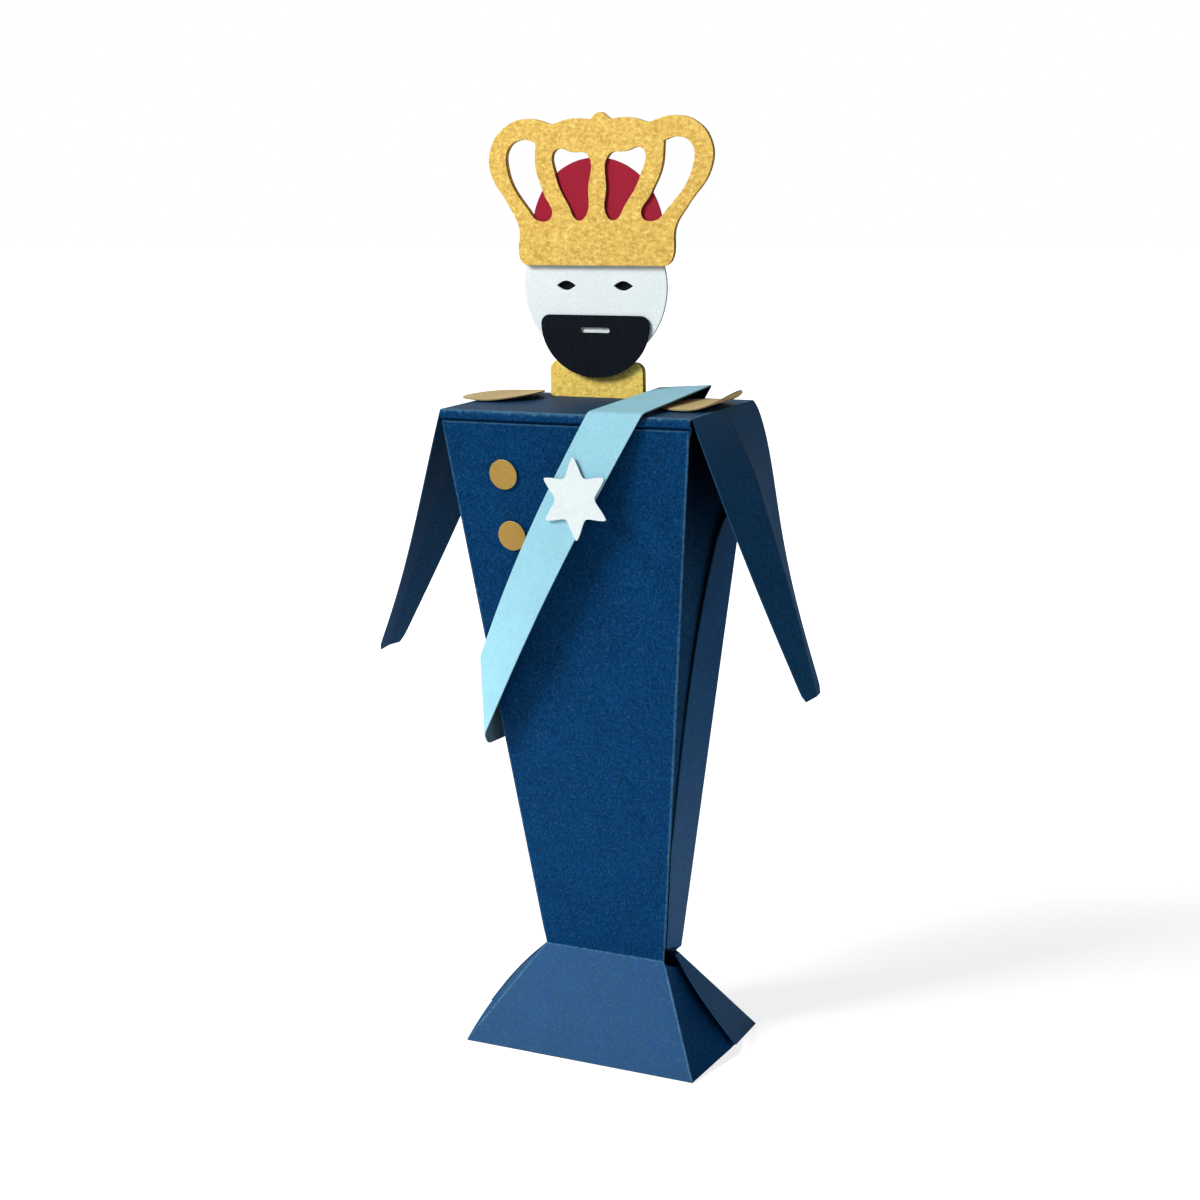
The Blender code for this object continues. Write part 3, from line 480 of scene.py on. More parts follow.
def gold_card(name, gain):
    """Metallic gold card embossed with a fine irregular leather grain, lightened by a gain; its colour is
    lighter on the grain's ridges and darker in its hollows, painted highlight and painted shade.
    """
    shader = Shader(name)
    broad = shader.noise(0.95 * MM, 2.0, 0.5, (0.8, 1.0, 1.25), 0.5)
    fine = shader.noise(0.45 * MM, 2.0, 0.6)
    relief = broad * 0.55 + fine * 0.45
    deep, middle, light = np.minimum(1.0, np.multiply((GOLD_HOLLOW_PAINTED_SHADE, GOLD, GOLD_RIDGE_PAINTED_HIGHLIGHT), gain)).tolist()
    # Painted shade in the hollows of the relief and painted highlight on its ridges
    lit = shader.mix(relief.step(0.36, 0.56), opaque(deep), opaque(middle))
    shader.set(
        Base_Color=shader.mix(relief.step(0.54, 0.70), lit, opaque(light)),
        Metallic=0.12,
        Roughness=0.55 + (fine - 0.5) * 0.25,
        Specular_IOR_Level=0.25,
        Normal=shader.bump(relief, 0.085 * MM),
    )
    return shader.material


# Card pieces


def finish_faces(mesh, materials, indices=None):
    """Gives a mesh its materials: the face card first, then the cut edge, by the index of each face."""
    for material in materials:
        mesh.materials.append(material)
    if indices is not None:
        mesh.polygons.foreach_set("material_index", indices.astype(np.int32))
    mesh.polygons.foreach_set("use_smooth", np.ones(len(mesh.polygons), bool))


def face_values(mesh, kind):
    """The centre or the normal of each face, as the rows of an array."""
    values = np.zeros(len(mesh.polygons) * 3)
    mesh.polygons.foreach_get(kind, values)
    return values.reshape(-1, 3)


def faces_facing(mesh, axis, share):
    """1 for the faces that look more than a share along an axis, 0 elsewhere."""
    return (np.abs(face_values(mesh, "normal")[:, axis]) > share).astype(np.int32)


def join_points(mesh, within):
    """Merges the points that lie together within a distance, and turns all faces outwards."""
    bm = bmesh.new()
    bm.from_mesh(mesh)
    bmesh.ops.remove_doubles(bm, verts=bm.verts, dist=within)
    bmesh.ops.recalc_face_normals(bm, faces=bm.faces)
    bm.to_mesh(mesh)
    bm.free()


def add_piece(name, mesh, body, slot, *nodes):
    """Puts a finished mesh into the scene, riding on its body and standing for its CAD nodes."""
    piece = bpy.data.objects.new(name, mesh)
    bpy.context.scene.collection.objects.link(piece)
    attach(piece, body)
    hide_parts(*nodes)
    return piece


def thicken(piece, softness=0.07 * MM, fold_angle=18.0, back=0):
    """Turns a middle surface into card: equal thickness to both sides, folds and edges softened.

    The card's back takes the material that many places after its face's.
    """
    solid = piece.modifiers.new("card", "SOLIDIFY")
    solid.thickness = CARD
    solid.offset = 0.0
    solid.use_even_offset = True
    solid.material_offset = back
    solid.material_offset_rim = 1
    soften = piece.modifiers.new("soft_edges", "BEVEL")
    soften.width = softness
    soften.segments = 2
    soften.limit_method = "ANGLE"
    soften.angle_limit = math.radians(fold_angle)
    soften.harden_normals = True


def grid_faces(rows, columns):
    """Corner numbers of the quads of a grid whose points are counted row by row."""
    first = (np.arange(rows - 1)[:, None] * columns + np.arange(columns - 1)[None, :]).ravel()
    return np.stack([first, first + 1, first + columns + 1, first + columns], axis=1)


def surface(name, patches, keep=None):
    """One mesh of several grids of points, joined where their borders meet.

    Its UV map holds each point's share across and down its grid. A keep function says, from the
    array of the faces' middles, which faces stay.
    """
    points = []
    faces = []
    shares = []
    start = 0
    for grid in patches:
        rows, columns = grid.shape[:2]
        points.append(grid.reshape(-1, 3))
        faces.append(grid_faces(rows, columns) + start)
        across, along = np.meshgrid(np.linspace(0, 1, columns), np.linspace(0, 1, rows))
        shares.append(np.stack([across.ravel(), along.ravel()], axis=1))
        start += rows * columns
    points = np.concatenate(points)
    faces = np.concatenate(faces)
    if keep is not None:
        faces = faces[keep(points[faces].mean(axis=1))]
    used, places = np.unique(faces, return_inverse=True)
    mesh = bpy.data.meshes.new(name)
    mesh.from_pydata((points[used] + FIGURE_SHIFT).tolist(), [], places.reshape(-1, 4).tolist())
    corners = np.zeros(len(mesh.loops), np.int32)
    mesh.loops.foreach_get("vertex_index", corners)
    uv_map = mesh.uv_layers.new(name="card")
    uv_map.data.foreach_set("uv", np.concatenate(shares)[used][corners].ravel())
    join_points(mesh, 0.005 * MM)
    return mesh


def patch(corners, rows, columns):
    """A straight-lined surface between four corners in turn: a share down two sides, then across."""
    top_first, top_last, low_last, low_first = (np.array(corner, float) for corner in corners)
    down = np.linspace(0, 1, rows)[:, None]
    first = top_first + (low_first - top_first) * down
    return strip(first, top_last + (low_last - top_last) * down, columns)


def strip(first, second, columns):
    """A surface between two lines of points, straight across from one to the other."""
    across = np.linspace(0, 1, columns)[None, :, None]
    return first[:, None, :] + (second - first)[:, None, :] * across


def mirrored(grid):
    """The same grid on the figure's other side, wound the other way."""
    return grid[:, ::-1] * np.array([-1.0, 1.0, 1.0])


# Body


def body_size(knee, chest, z):
    """A size of the body at a height, straight from its value at the knee fold to that at the top."""
    return knee + (chest - knee) * (z - KNEE_Z) / (CHEST_TOP_Z - KNEE_Z)


def half_width(z):
    return body_size(KNEE_HALF_WIDTH, CHEST_HALF_WIDTH, z)


def front_y(z):
    return body_size(KNEE_FRONT_Y, CHEST_FRONT_Y, z)


def rear_y(z):
    return body_size(KNEE_REAR_Y, CHEST_REAR_Y, z)


def panel(top, bottom, face, widen, outward, rows, inset=0.0, columns=17):
    """A body panel between two heights, bowed outwards by a sine up it and a parabola across it.

    Below the notch its sides run in by the inset.
    """
    z = np.linspace(top, bottom, rows)[:, None]
    across = np.linspace(-1, 1, columns)[None, :]
    half = half_width(z) + widen - inset * np.clip((NOTCH_Z - z) / (NOTCH_Z - KNEE_Z), 0, 1)
    rise = (z - KNEE_Z) / (CHEST_TOP_Z - KNEE_Z)
    bow = PANEL_BOW * np.sin(np.pi * rise) * (1 - across ** 2)
    x = half * across
    y = face(z) + outward * bow + 0 * across
    return np.stack([x, y, z + 0 * across], axis=2)


def skirt_corners(knee_x, knee_y, hem_x, hem_y):
    """Knee, notch and hem corners of a skirt panel on the right."""
    knee = np.array([knee_x, knee_y, KNEE_Z])
    hem = np.array([hem_x, hem_y, HEM_Z])
    return knee, knee + (hem - knee) * SKIRT_NOTCH_SHARE, hem


FRONT_SKIRT = skirt_corners(KNEE_HALF_WIDTH, KNEE_FRONT_Y, HEM_HALF_WIDTH, -HEM_HALF_DEPTH)
REAR_SKIRT = skirt_corners(
    KNEE_HALF_WIDTH + LAYER - REAR_KNEE_INSET, KNEE_REAR_Y, HEM_HALF_WIDTH + LAYER, HEM_HALF_DEPTH
)


def skirt_side():
    """The rear skirt flap's front corners on the right, and its outward direction."""
    _, top, hem = REAR_SKIRT
    lowest = hem + np.array([HEM_SIDE_BULGE, HEM_SIDE_Y - HEM_HALF_DEPTH, HEM_SIDE_LIFT])
    upper = top + (lowest - hem) * SKIRT_FLAP_TOP_SHARE
    outward = np.cross(lowest - hem, top - hem)
    outward /= np.linalg.norm(outward)
    if outward[0] < 0:
        outward = -outward
    return upper, lowest, outward


def mirror_point(point):
    return np.array([-point[0], point[1], point[2]])


def skirt_panels(knee, top, hem):
    """A shell's two grids below its knee fold, from its corners on the right: to the notch and the hem."""
    return [
        patch([mirror_point(knee), knee, top, mirror_point(top)], 2, 17),
        patch([mirror_point(top), top, hem, mirror_point(hem)], 9, 17),
    ]


def bowed(grid, direction, first, last):
    """The grid pushed along a direction by a sine down its rows, from a first to a last depth across."""
    rows, columns = grid.shape[:2]
    down = np.sin(np.linspace(0, np.pi, rows))[:, None, None]
    return grid + down * np.linspace(first, last, columns)[None, :, None] * direction


def front_skirt_flap(apart, swell, bow, drop):
    """The front skirt flap and its tongue on the right, lying apart from the rear flap at its side.

    Its fold swells outwards along X and its far edge away from the rear flap, each by a sine.
    """
    _, top, hem = FRONT_SKIRT
    upper, lowest, outward = skirt_side()
    _, rear_top, rear_hem = REAR_SKIRT
    side = lowest - outward * apart
    side_top = upper - outward * apart
    side_top = side_top + (side - side_top) * drop
    tongue = side + (rear_hem - lowest) / np.linalg.norm(rear_hem - lowest) * SKIRT_TONGUE
    tongue_top = side_top + (rear_top - upper) / np.linalg.norm(rear_top - upper) * SKIRT_TONGUE / 2
    flap = bowed(patch([top, side_top, side, hem], 9, 7), np.array([1.0, 0.0, 0.0]), swell, 0.0)
    flap = bowed(flap, outward, 0.0, bow)
    strip_end = patch([side_top, tongue_top, tongue, side], 9, 3)
    return [flap, strip_end + (flap[:, -1:] - strip_end[:, :1])]


def front_shell_surface():
    """Chest panel, skirt panel and side flaps of the front card, one grid for each."""
    leftwards = np.array([-1.0, 0.0, 0.0])
    knee_row, skirt = skirt_panels(*FRONT_SKIRT)
    patches = [
        panel(CHEST_TOP_Z, FRONT_FLAP_TOP_Z, front_y, 0.0, -1, 2),
        panel(FRONT_FLAP_TOP_Z, FLAP_BOTTOM_Z, front_y, 0.0, -1, 33),
        panel(FLAP_BOTTOM_Z, NOTCH_Z, front_y, 0.0, -1, 2),
        panel(NOTCH_Z, KNEE_Z, front_y, 0.0, -1, 2),
        knee_row,
        bowed(skirt, leftwards, LEFT_SKIRT_SWELL, 0.0),
    ]
    z = np.linspace(FRONT_FLAP_TOP_Z, FLAP_BOTTOM_Z, 33)
    fold = np.stack([half_width(z), front_y(z), z], axis=1)
    share = np.linspace(0, 1, 33)
    back_y = FRONT_FLAP_TOP_Y + (FRONT_FLAP_KNEE_Y - FRONT_FLAP_TOP_Y) * share
    back = np.stack([half_width(z), back_y, z], axis=1)
    side_flap = strip(fold, back, 6)
    patches += [side_flap, mirrored(side_flap)]
    patches += front_skirt_flap(SKIRT_FLAP_SPRING, 0.0, RIGHT_SKIRT_BOW, SKIRT_FLAP_DROP_SHARE)
    left = front_skirt_flap(SKIRT_FLAP_REST, LEFT_SKIRT_SWELL, LEFT_SKIRT_BOW, 0.0)
    patches += [mirrored(grid) for grid in left]
    return patches


def rear_flap_edge(z):
    """Front edge of the rear flap: along the front fold up to the waist, above it back by a power."""
    share = np.clip((z - REAR_FLAP_WAIST_Z) / (FLAP_TOP_Z - REAR_FLAP_WAIST_Z), 0, 1)
    receding = REAR_FLAP_WAIST_Y + REAR_FLAP_RUN * share ** REAR_FLAP_CURVE
    y = np.maximum(front_y(z) + REAR_FLAP_FLUSH, receding)
    corner = np.clip((share - (1 - REAR_FLAP_CORNER_SHARE)) / REAR_FLAP_CORNER_SHARE, 0, 1)
    y = y + REAR_FLAP_CORNER * corner ** 2
    return np.stack([half_width(z) + LAYER + REAR_FLAP_SPRING * share ** 2, y, z], axis=1)


def rear_shell_surface():
    """The rear card: the same panels a layer wider, its side flaps reaching the front folds.

    The skirt flap's front edge swells forwards on the right and outwards on the left.
    """
    _, top, hem = REAR_SKIRT
    upper, lowest, outward = skirt_side()
    flap_top_z = FLAP_TOP_Z + FLAP_TOP_RISE
    patches = [
        panel(CHEST_TOP_Z, flap_top_z, rear_y, LAYER, 1, 6),
        panel(flap_top_z, NOTCH_Z, rear_y, LAYER, 1, 29),
        panel(NOTCH_Z, KNEE_Z, rear_y, LAYER, 1, 2, REAR_KNEE_INSET),
        *skirt_panels(*REAR_SKIRT),
    ]
    z = np.linspace(flap_top_z, NOTCH_Z, 29)
    fold = np.stack([half_width(z) + LAYER, rear_y(z), z], axis=1)
    edge = rear_flap_edge(np.linspace(FLAP_TOP_Z, FLAP_BOTTOM_Z, 29))
    patches.append(strip(fold, edge, 7))
    patches.append(mirrored(strip(fold, edge + np.array([0.0, LEFT_FLAP_STEP_BACK, 0.0]), 7)))
    forwards = (lowest - hem) / np.linalg.norm(lowest - hem)
    skirt_flap = patch([top, upper, lowest, hem], 9, 7)
    patches.append(bowed(skirt_flap, forwards, 0.0, SKIRT_FLAP_BULGE))
    patches.append(mirrored(bowed(skirt_flap, outward, 0.0, LEFT_SKIRT_BOW)))
    return patches


def shell_folds(widen, face, corners, flap_top_z):
    """The lines along which a shell is folded or cut in plain view, in world places."""
    knee, _, hem = corners
    top = np.array([CHEST_HALF_WIDTH + widen, face(CHEST_TOP_Z), CHEST_TOP_Z])
    flap = np.array([half_width(flap_top_z) + widen, face(flap_top_z), flap_top_z])
    lines = [(top, mirror_point(top)), (knee, mirror_point(knee))]
    for turn in (lambda point: point, mirror_point):
        lines.append((turn(flap), turn(knee)))
        lines.append((turn(knee), turn(hem)))
    return [(start + FIGURE_SHIFT, end + FIGURE_SHIFT) for start, end in lines]


def shell_regions(mesh):
    """The place of each face's material in its shell's list.

    It is 2 for the skirt panel and the left skirt flap, 4 for the body's side flaps and 0 elsewhere.
    """
    middles = face_values(mesh, "center")
    panel_faces = faces_facing(mesh, 1, 0.6)
    left_flap = (middles[:, 0] < FIGURE_X - KNEE_HALF_WIDTH) * (1 - panel_faces)
    low = middles[:, 2] < KNEE_Z
    return 2 * low * (panel_faces + left_flap) + 4 * (1 - low) * (1 - panel_faces)


def make_shells():
    """The body's two cards, each with its own skirt, flaps and cut edges."""
    edge = cut_edge("navy_cut_edge", NAVY_CORE)
    rear_edge = cut_edge("navy_rear_cut_edge", ARM_CORE)
    front_folds = shell_folds(0.0, front_y, FRONT_SKIRT, FRONT_FLAP_TOP_Z)
    rear_folds = shell_folds(LAYER, rear_y, REAR_SKIRT, FLAP_TOP_Z + FLAP_TOP_RISE)
    # The front side flaps take a greyer copy of the navy: painted sheen
    side = navy_card("navy_front_side", front_folds, tone=NAVY_SIDE_PAINTED_SHEEN, sheen=0.0, painted_shade_heights=FRONT_FLAP_PAINTED_SHADE)
    # Both skirts take a lighter copy of the navy: painted light
    front_skirt_card = navy_card("navy_front_skirt", front_folds, tone=NAVY_SKIRT_PAINTED_LIGHT, sheen=0.25, grain=2.0)
    # The skirts' cut edges take the dark edge: painted shade along the hem
    front = [navy_card("navy_front", front_folds, rub=0.28), edge, front_skirt_card, rear_edge, side, edge]
    # The rear card takes a lighter copy of the navy: painted light
    rear_card = navy_card("navy_rear", rear_folds, tone=NAVY_REAR_PAINTED_LIGHT)
    rear_skirt_card = navy_card("navy_rear_skirt", rear_folds, tone=NAVY_SKIRT_PAINTED_LIGHT, sheen=0.25, grain=2.0)
    rear = [rear_card, rear_edge, rear_skirt_card, rear_edge, rear_card, rear_edge]
    for name, patches, materials in (
        ("front_shell_card", front_shell_surface(), front),
        ("rear_shell_card", rear_shell_surface(), rear),
    ):
        mesh = surface(name, patches)
        finish_faces(mesh, materials, shell_regions(mesh))
        thicken(add_piece(name, mesh, "body", "blue_card", name.replace("_card", "")))


# Shoulder plate and arms

PLATE_FRONT_Y = front_y(PLATE_Z) + LAYER
PLATE_REAR_Y = rear_y(PLATE_Z) - LAYER


def rounded_fold(y, z, turn_from, turn_to, steps=5):
    """Profile points on an arc round (y, z), angles in degrees from +Y towards +Z."""
    angle = np.radians(np.linspace(turn_from, turn_to, steps))
    return np.stack([y + PLATE_FOLD_RADIUS * np.cos(angle), z + PLATE_FOLD_RADIUS * np.sin(angle)], axis=1)


def yoke_profile(slot_front, slot_rear):
    """The plate's section: front tab, rounded fold, flat top with the slot's two lines, fold, rear tab."""
    tab_z = PLATE_Z - TAB_DEPTH
    radius = PLATE_FOLD_RADIUS
    front = PLATE_FRONT_Y - LIP_OVERHANG
    rear = PLATE_REAR_Y + LIP_OVERHANG
    groove = CHEST_TOP_Z + LIP_GROOVE
    under_groove = groove - LIP_GROOVE_HEIGHT
    top = np.concatenate([
        np.linspace(front + 2 * radius, slot_front, 7),
        np.linspace(slot_rear, rear - 2 * radius, 2),
    ])
    return np.concatenate([
        [[front_y(tab_z) + LAYER, tab_z], [front_y(CHEST_TOP_Z) + LAYER, CHEST_TOP_Z]],
        [[front_y(CHEST_TOP_Z) + LAYER - LIP_SETBACK, under_groove], [front, groove]],
        rounded_fold(front + radius, PLATE_Z - radius, 180, 90),
        np.stack([top, np.full(len(top), PLATE_Z)], axis=1),
        rounded_fold(rear - radius, PLATE_Z - radius, 90, 0),
        [[rear, groove], [rear_y(CHEST_TOP_Z) - LAYER + LIP_SETBACK, under_groove]],
        [[rear_y(CHEST_TOP_Z) - LAYER, CHEST_TOP_Z], [rear_y(tab_z) - LAYER, tab_z]],
    ])


def yoke_surface(profile, slot_left, slot_right):
    """The plate's section carried along X, its tabs narrowing straight downwards."""
    half = SHOULDER_HALF_WIDTH - CARD / 2
    columns = np.concatenate([np.linspace(-1, slot_left / half, 5), np.linspace(slot_right / half, 1, 9)])
    below = PLATE_Z - TAB_TAPER_START - profile[:, 1:]
    x = columns * (half - TAB_TAPER * np.clip(below / (TAB_DEPTH - TAB_TAPER_START), 0, 1))
    y = profile[:, :1] + 0 * columns
    z = profile[:, 1:] + 0 * columns
    return np.stack([x, y, z], axis=2)


def make_yoke():
    """The shoulder plate, with the neck's slot open in its top."""
    left = NECK_X - NECK_WIDTH / 2 - GAP
    right = NECK_X + NECK_WIDTH / 2 + NECK_REAR_SHIFT + GAP
    front = NECK_Y - CARD / 2 - GAP
    rear = NECK_Y + LAYER + CARD / 2 + GAP

    def outside_slot(middle):
        inside = (middle[:, 0] > left) & (middle[:, 0] < right)
        inside &= (middle[:, 1] > front) & (middle[:, 1] < rear)
        return ~(inside & (middle[:, 2] > PLATE_Z - CARD / 2))

    grid = yoke_surface(yoke_profile(front, rear), left, right)
    mesh = surface("shoulder_plate_card", [grid], outside_slot)
    x, y = np.meshgrid([-SHOULDER_HALF_WIDTH, SHOULDER_HALF_WIDTH], [PLATE_FRONT_Y, PLATE_REAR_Y])
    corners = np.stack([x, y, PLATE_Z + 0 * x], axis=2) + FIGURE_SHIFT
    folds = [*corners, *corners.swapaxes(0, 1)]
    lip = navy_card("navy_lip", folds, 1.0 * MM)
    # The faces that look up take the darker, greyer copy of the navy: painted shade and sheen on the
    # plate's top
    flat = navy_card("navy_shoulder_top_painted_shade", folds, 1.0 * MM, tone=NAVY_TOP_PAINTED_SHADE)
    finish_faces(mesh, [lip, cut_edge("navy_plate_edge", NAVY_CORE), flat], 2 * faces_facing(mesh, 2, 0.9))
    thicken(add_piece("shoulder_plate_card", mesh, "body", "blue_card", "yoke_plate"))


def even_dip(share):
    """An edge that hollows evenly between shoulder and hand."""
    return -ARM_EDGE_DIP * np.sin(np.pi * share)


def left_front_edge(share):
    """An edge that hollows most below its middle."""
    return -LEFT_ARM_HOLLOW * np.sin(np.pi * share ** LEFT_HOLLOW_POWER)


def right_rear_edge(share):
    """An edge that swells below the shoulder and hollows above the hand."""
    return RIGHT_ARM_SWELL * np.sin(2 * np.pi * share ** RIGHT_SWELL_POWER)


def softened(share):
    """The size of a share of -1 to 1, its sharp turn at 0 rounded by a square root."""
    softness = ARM_RIDGE_SOFTNESS
    return (np.sqrt(share ** 2 + softness ** 2) - softness) / (math.sqrt(1 + softness ** 2) - softness)


def arm_surface(side, spread, crease, front_edge, rear_edge, rows=41, columns=21):
    """A tapering strip: straight across from each edge to the ridge, the ridge softly rounded.

    The ridge rises by a power from the shoulder and sinks again by a power near the hand. The
    columns are crowded towards it.
    """
    share = np.linspace(0, 1, rows)[:, None]
    even = np.linspace(-1, 1, columns)[None, :]
    across = np.sign(even) * np.abs(even) ** ARM_RIDGE_CROWDING
    opening = np.minimum(1, share / ARM_OPENING_SHARE)
    ridge = crease * (1 - (1 - opening) ** ARM_OPENING_POWER)
    ridge = ridge * (1 - ARM_END_FLATNESS * share ** ARM_END_POWER)
    edge = np.where(across < 0, front_edge(share), rear_edge(share))
    local_x = side * (ridge + (edge - ridge) * softened(across))
    narrowing = HAND_CORNER * np.clip((share - (1 - HAND_CORNER_SHARE)) / HAND_CORNER_SHARE, 0, 1) ** 2
    front = PLATE_FRONT_Y + (-HAND_HALF_WIDTH - PLATE_FRONT_Y) * share + narrowing
    rear = PLATE_REAR_Y + (HAND_HALF_WIDTH - PLATE_REAR_Y) * share - narrowing
    y = (front + rear) / 2 + (rear - front) / 2 * across
    down = ARM_LENGTH * share + 0 * across
    turn = -side * spread
    x = side * SHOULDER_HALF_WIDTH + local_x * math.cos(turn) - down * math.sin(turn)
    z = PLATE_Z - local_x * math.sin(turn) - down * math.cos(turn)
    return np.stack([x, y, z], axis=2)


def make_arm(name, tone, side, spread, crease, front_edge, rear_edge):
    """One arm, worn along its fold and edges; the right one's ridge also gets a dark line of painted shade
    along its crease.
    """
    grid = arm_surface(side, spread, crease, front_edge, rear_edge)
    mesh = surface(name + "_card", [grid])
    grid = grid + FIGURE_SHIFT
    folds = [(grid[0, 0], grid[0, -1])]
    for edge in (0, -1):
        bend = grid[ARM_EDGE_BEND, edge]
        folds += [(grid[0, edge], bend), (bend, grid[-3, edge])]
    ridge = grid[ARM_CREASE_BENDS, grid.shape[1] // 2]
    creases = list(zip(ridge[:-1], ridge[1:])) if side > 0 else ()
    card = navy_card("navy_" + name, folds, 0.16 * MM, tone=tone, rub=0.2, creases=creases)
    finish_faces(mesh, [card, cut_edge("navy_edge_" + name, ARM_CORE)])
    piece = add_piece(name + "_card", mesh, name + "_body", "blue_card", name)
    thicken(piece, softness=0.10 * MM, fold_angle=40.0)


# Flat pieces


def arc(centre, radius, start, end, steps):
    """Points on an arc, angles in degrees from +X."""
    angle = np.radians(np.linspace(start, end, steps + 1))
    points = np.stack([centre[0] + radius * np.cos(angle), centre[1] + radius * np.sin(angle)], axis=1)
    return points.tolist()


def circle(centre, radius, steps=128):
    return arc(centre, radius, 0.0, 360.0 - 360.0 / steps, steps - 1)


def rounded_box(left, bottom, right, top, radius, steps=6):
    """A rectangle with rounded corners, as a closed outline."""
    outline = arc((right - radius, top - radius), radius, 0, 90, steps)
    outline += arc((left + radius, top - radius), radius, 90, 180, steps)
    outline += arc((left + radius, bottom + radius), radius, 180, 270, steps)
    outline += arc((right - radius, bottom + radius), radius, 270, 360, steps)
    return outline


def add_outline(curve, outline):
    """Adds a closed outline: (x, y) points join straight, (x, y, kind) points bend through smooth ones."""
    if len(outline[0]) == 2:
        spline = curve.splines.new("POLY")
        spline.points.add(len(outline) - 1)
        places = np.pad(outline, ((0, 0), (0, 2)))
        places[:, 3] = 1.0
        spline.points.foreach_set("co", places.ravel())
    else:
        spline = curve.splines.new("BEZIER")
        spline.bezier_points.add(len(outline) - 1)
        spline.resolution_u = 10
        for target, (x, y, kind) in zip(spline.bezier_points, outline):
            target.co = (x, y, 0.0)
            handle = "AUTO" if kind == "smooth" else "VECTOR"
            target.handle_left_type = handle
            target.handle_right_type = handle
    spline.use_cyclic_u = True


def flat_mesh(name, outlines, thickness, rim=0.05 * MM):
    """A filled outline with holes, extruded to the card's thickness, its cut edges slightly rounded."""
    curve = bpy.data.curves.new(name, "CURVE")
    curve.dimensions = "2D"
    curve.fill_mode = "BOTH"
    curve.extrude = thickness / 2 - rim
    curve.bevel_depth = rim
    curve.bevel_resolution = 1
    curve.offset = -rim
    for outline in outlines:
        add_outline(curve, outline)
    holder = bpy.data.objects.new(name, curve)
    bpy.context.scene.collection.objects.link(holder)
    bpy.context.view_layer.update()
    solid = bpy.data.meshes.new_from_object(holder.evaluated_get(bpy.context.evaluated_depsgraph_get()))
    bpy.data.objects.remove(holder)
    join_points(solid, 0.002 * MM)
    return solid


def add_flat(name, outlines, middle, axes, materials, slot, node, thickness=CARD):
    """Lays a flat piece round a middle, with its drawing's x and y and its face along three axes.

    The faces that look along the third axis are its card, and the others its cut edge.
    """
    mesh = flat_mesh(name, outlines, thickness)
    places = np.zeros(len(mesh.vertices) * 3)
    mesh.vertices.foreach_get("co", places)
    moved = places.reshape(-1, 3) @ axes + middle + FIGURE_SHIFT
    mesh.vertices.foreach_set("co", moved.ravel())
    mesh.update()
    facing = np.abs(face_values(mesh, "normal") @ axes[2])
    mesh.materials.clear()
    finish_faces(mesh, materials, facing < 0.5)
    mesh.polygons.foreach_set("use_smooth", facing < 0.99)
    add_piece(name, mesh, "body", slot, node)


# The axes of a piece that stands upright and looks forwards.
UPRIGHT = np.array([[1.0, 0.0, 0.0], [0.0, 0.0, 1.0], [0.0, -1.0, 0.0]])


def make_upright(name, outlines, y, materials, slot, node, thickness=CARD):
    """Adds an upright flat piece drawn in the body's own x and z, with its middle at a depth y."""
    add_flat(name, outlines, np.array([0.0, y, 0.0]), UPRIGHT, materials, slot, node, thickness)


# Head

FACE_Y = NECK_Y - CARD / 2 - GAP - FACE_CARD / 2
TRIM_Y = FACE_Y - FACE_CARD / 2 - GAP - CARD / 2
CROWN_Y = TRIM_Y - LAYER


def eye_x(side):
    """Eyes one eye length apart, for a face five eye lengths wide."""
    return FACE_X + side * FACE_RADIUS * 2 / 5


def almond(centre, length, height, steps=16):
    """A closed lens shape: a sine above its long axis and the same below."""
    share = np.linspace(0, 1, steps + 1)
    x = centre[0] - length / 2 + length * share
    rise = height / 2 * np.sin(np.pi * share)
    upper = np.stack([x, centre[1] + rise], axis=1)
    lower = np.stack([x, centre[1] - rise], axis=1)[-2:0:-1]
    return np.concatenate([upper, lower]).tolist()


def neck_outline(x, tongue):
    """A strip with rounded upper corners, its root in the slot, and on one of the two a tongue on top."""
    left = x - NECK_WIDTH / 2
    right = x + NECK_WIDTH / 2
    bottom = PLATE_Z - NECK_ROOT
    outline = [[left, bottom], [right, bottom]]
    outline += arc((right - NECK_CORNER, NECK_TOP_Z - NECK_CORNER), NECK_CORNER, 0, 90, 8)
    if tongue:
        outline += [[x + NECK_TONGUE_WIDTH / 2, NECK_TOP_Z], [x + NECK_TONGUE_WIDTH / 2, NECK_TONGUE_TOP_Z]]
        outline += [[x - NECK_TONGUE_WIDTH / 2, NECK_TONGUE_TOP_Z], [x - NECK_TONGUE_WIDTH / 2, NECK_TOP_Z]]
    outline += arc((left + NECK_CORNER, NECK_TOP_Z - NECK_CORNER), NECK_CORNER, 90, 180, 8)
    return outline


def beard_outline():
    """Half an ellipse below a straight upper edge with rounded corners."""
    centre_z = BEARD_TOP_Z - BEARD_CORNER
    angle = np.linspace(0, np.pi, 65)
    lower = np.stack([
        BEARD_X - BEARD_RADIUS * np.cos(angle),
        centre_z - (BEARD_DROP - BEARD_CORNER) * np.sin(angle),
    ], axis=1).tolist()
    lower += arc((BEARD_X + BEARD_RADIUS - BEARD_CORNER, centre_z), BEARD_CORNER, BEARD_CORNER_START, 90, 6)
    left = (BEARD_X - BEARD_RADIUS + BEARD_CORNER, centre_z)
    lower += arc(left, BEARD_CORNER, 90, 180 - BEARD_CORNER_START, 6)
    return lower


def crown_point(x, across, height, kind):
    """A point of the crown's outline, from millimetres across and up, leaning sideways with height."""
    return (x + (across + CROWN_LEAN * height) * MM, CROWN_BASE_Z + height * MM, kind)


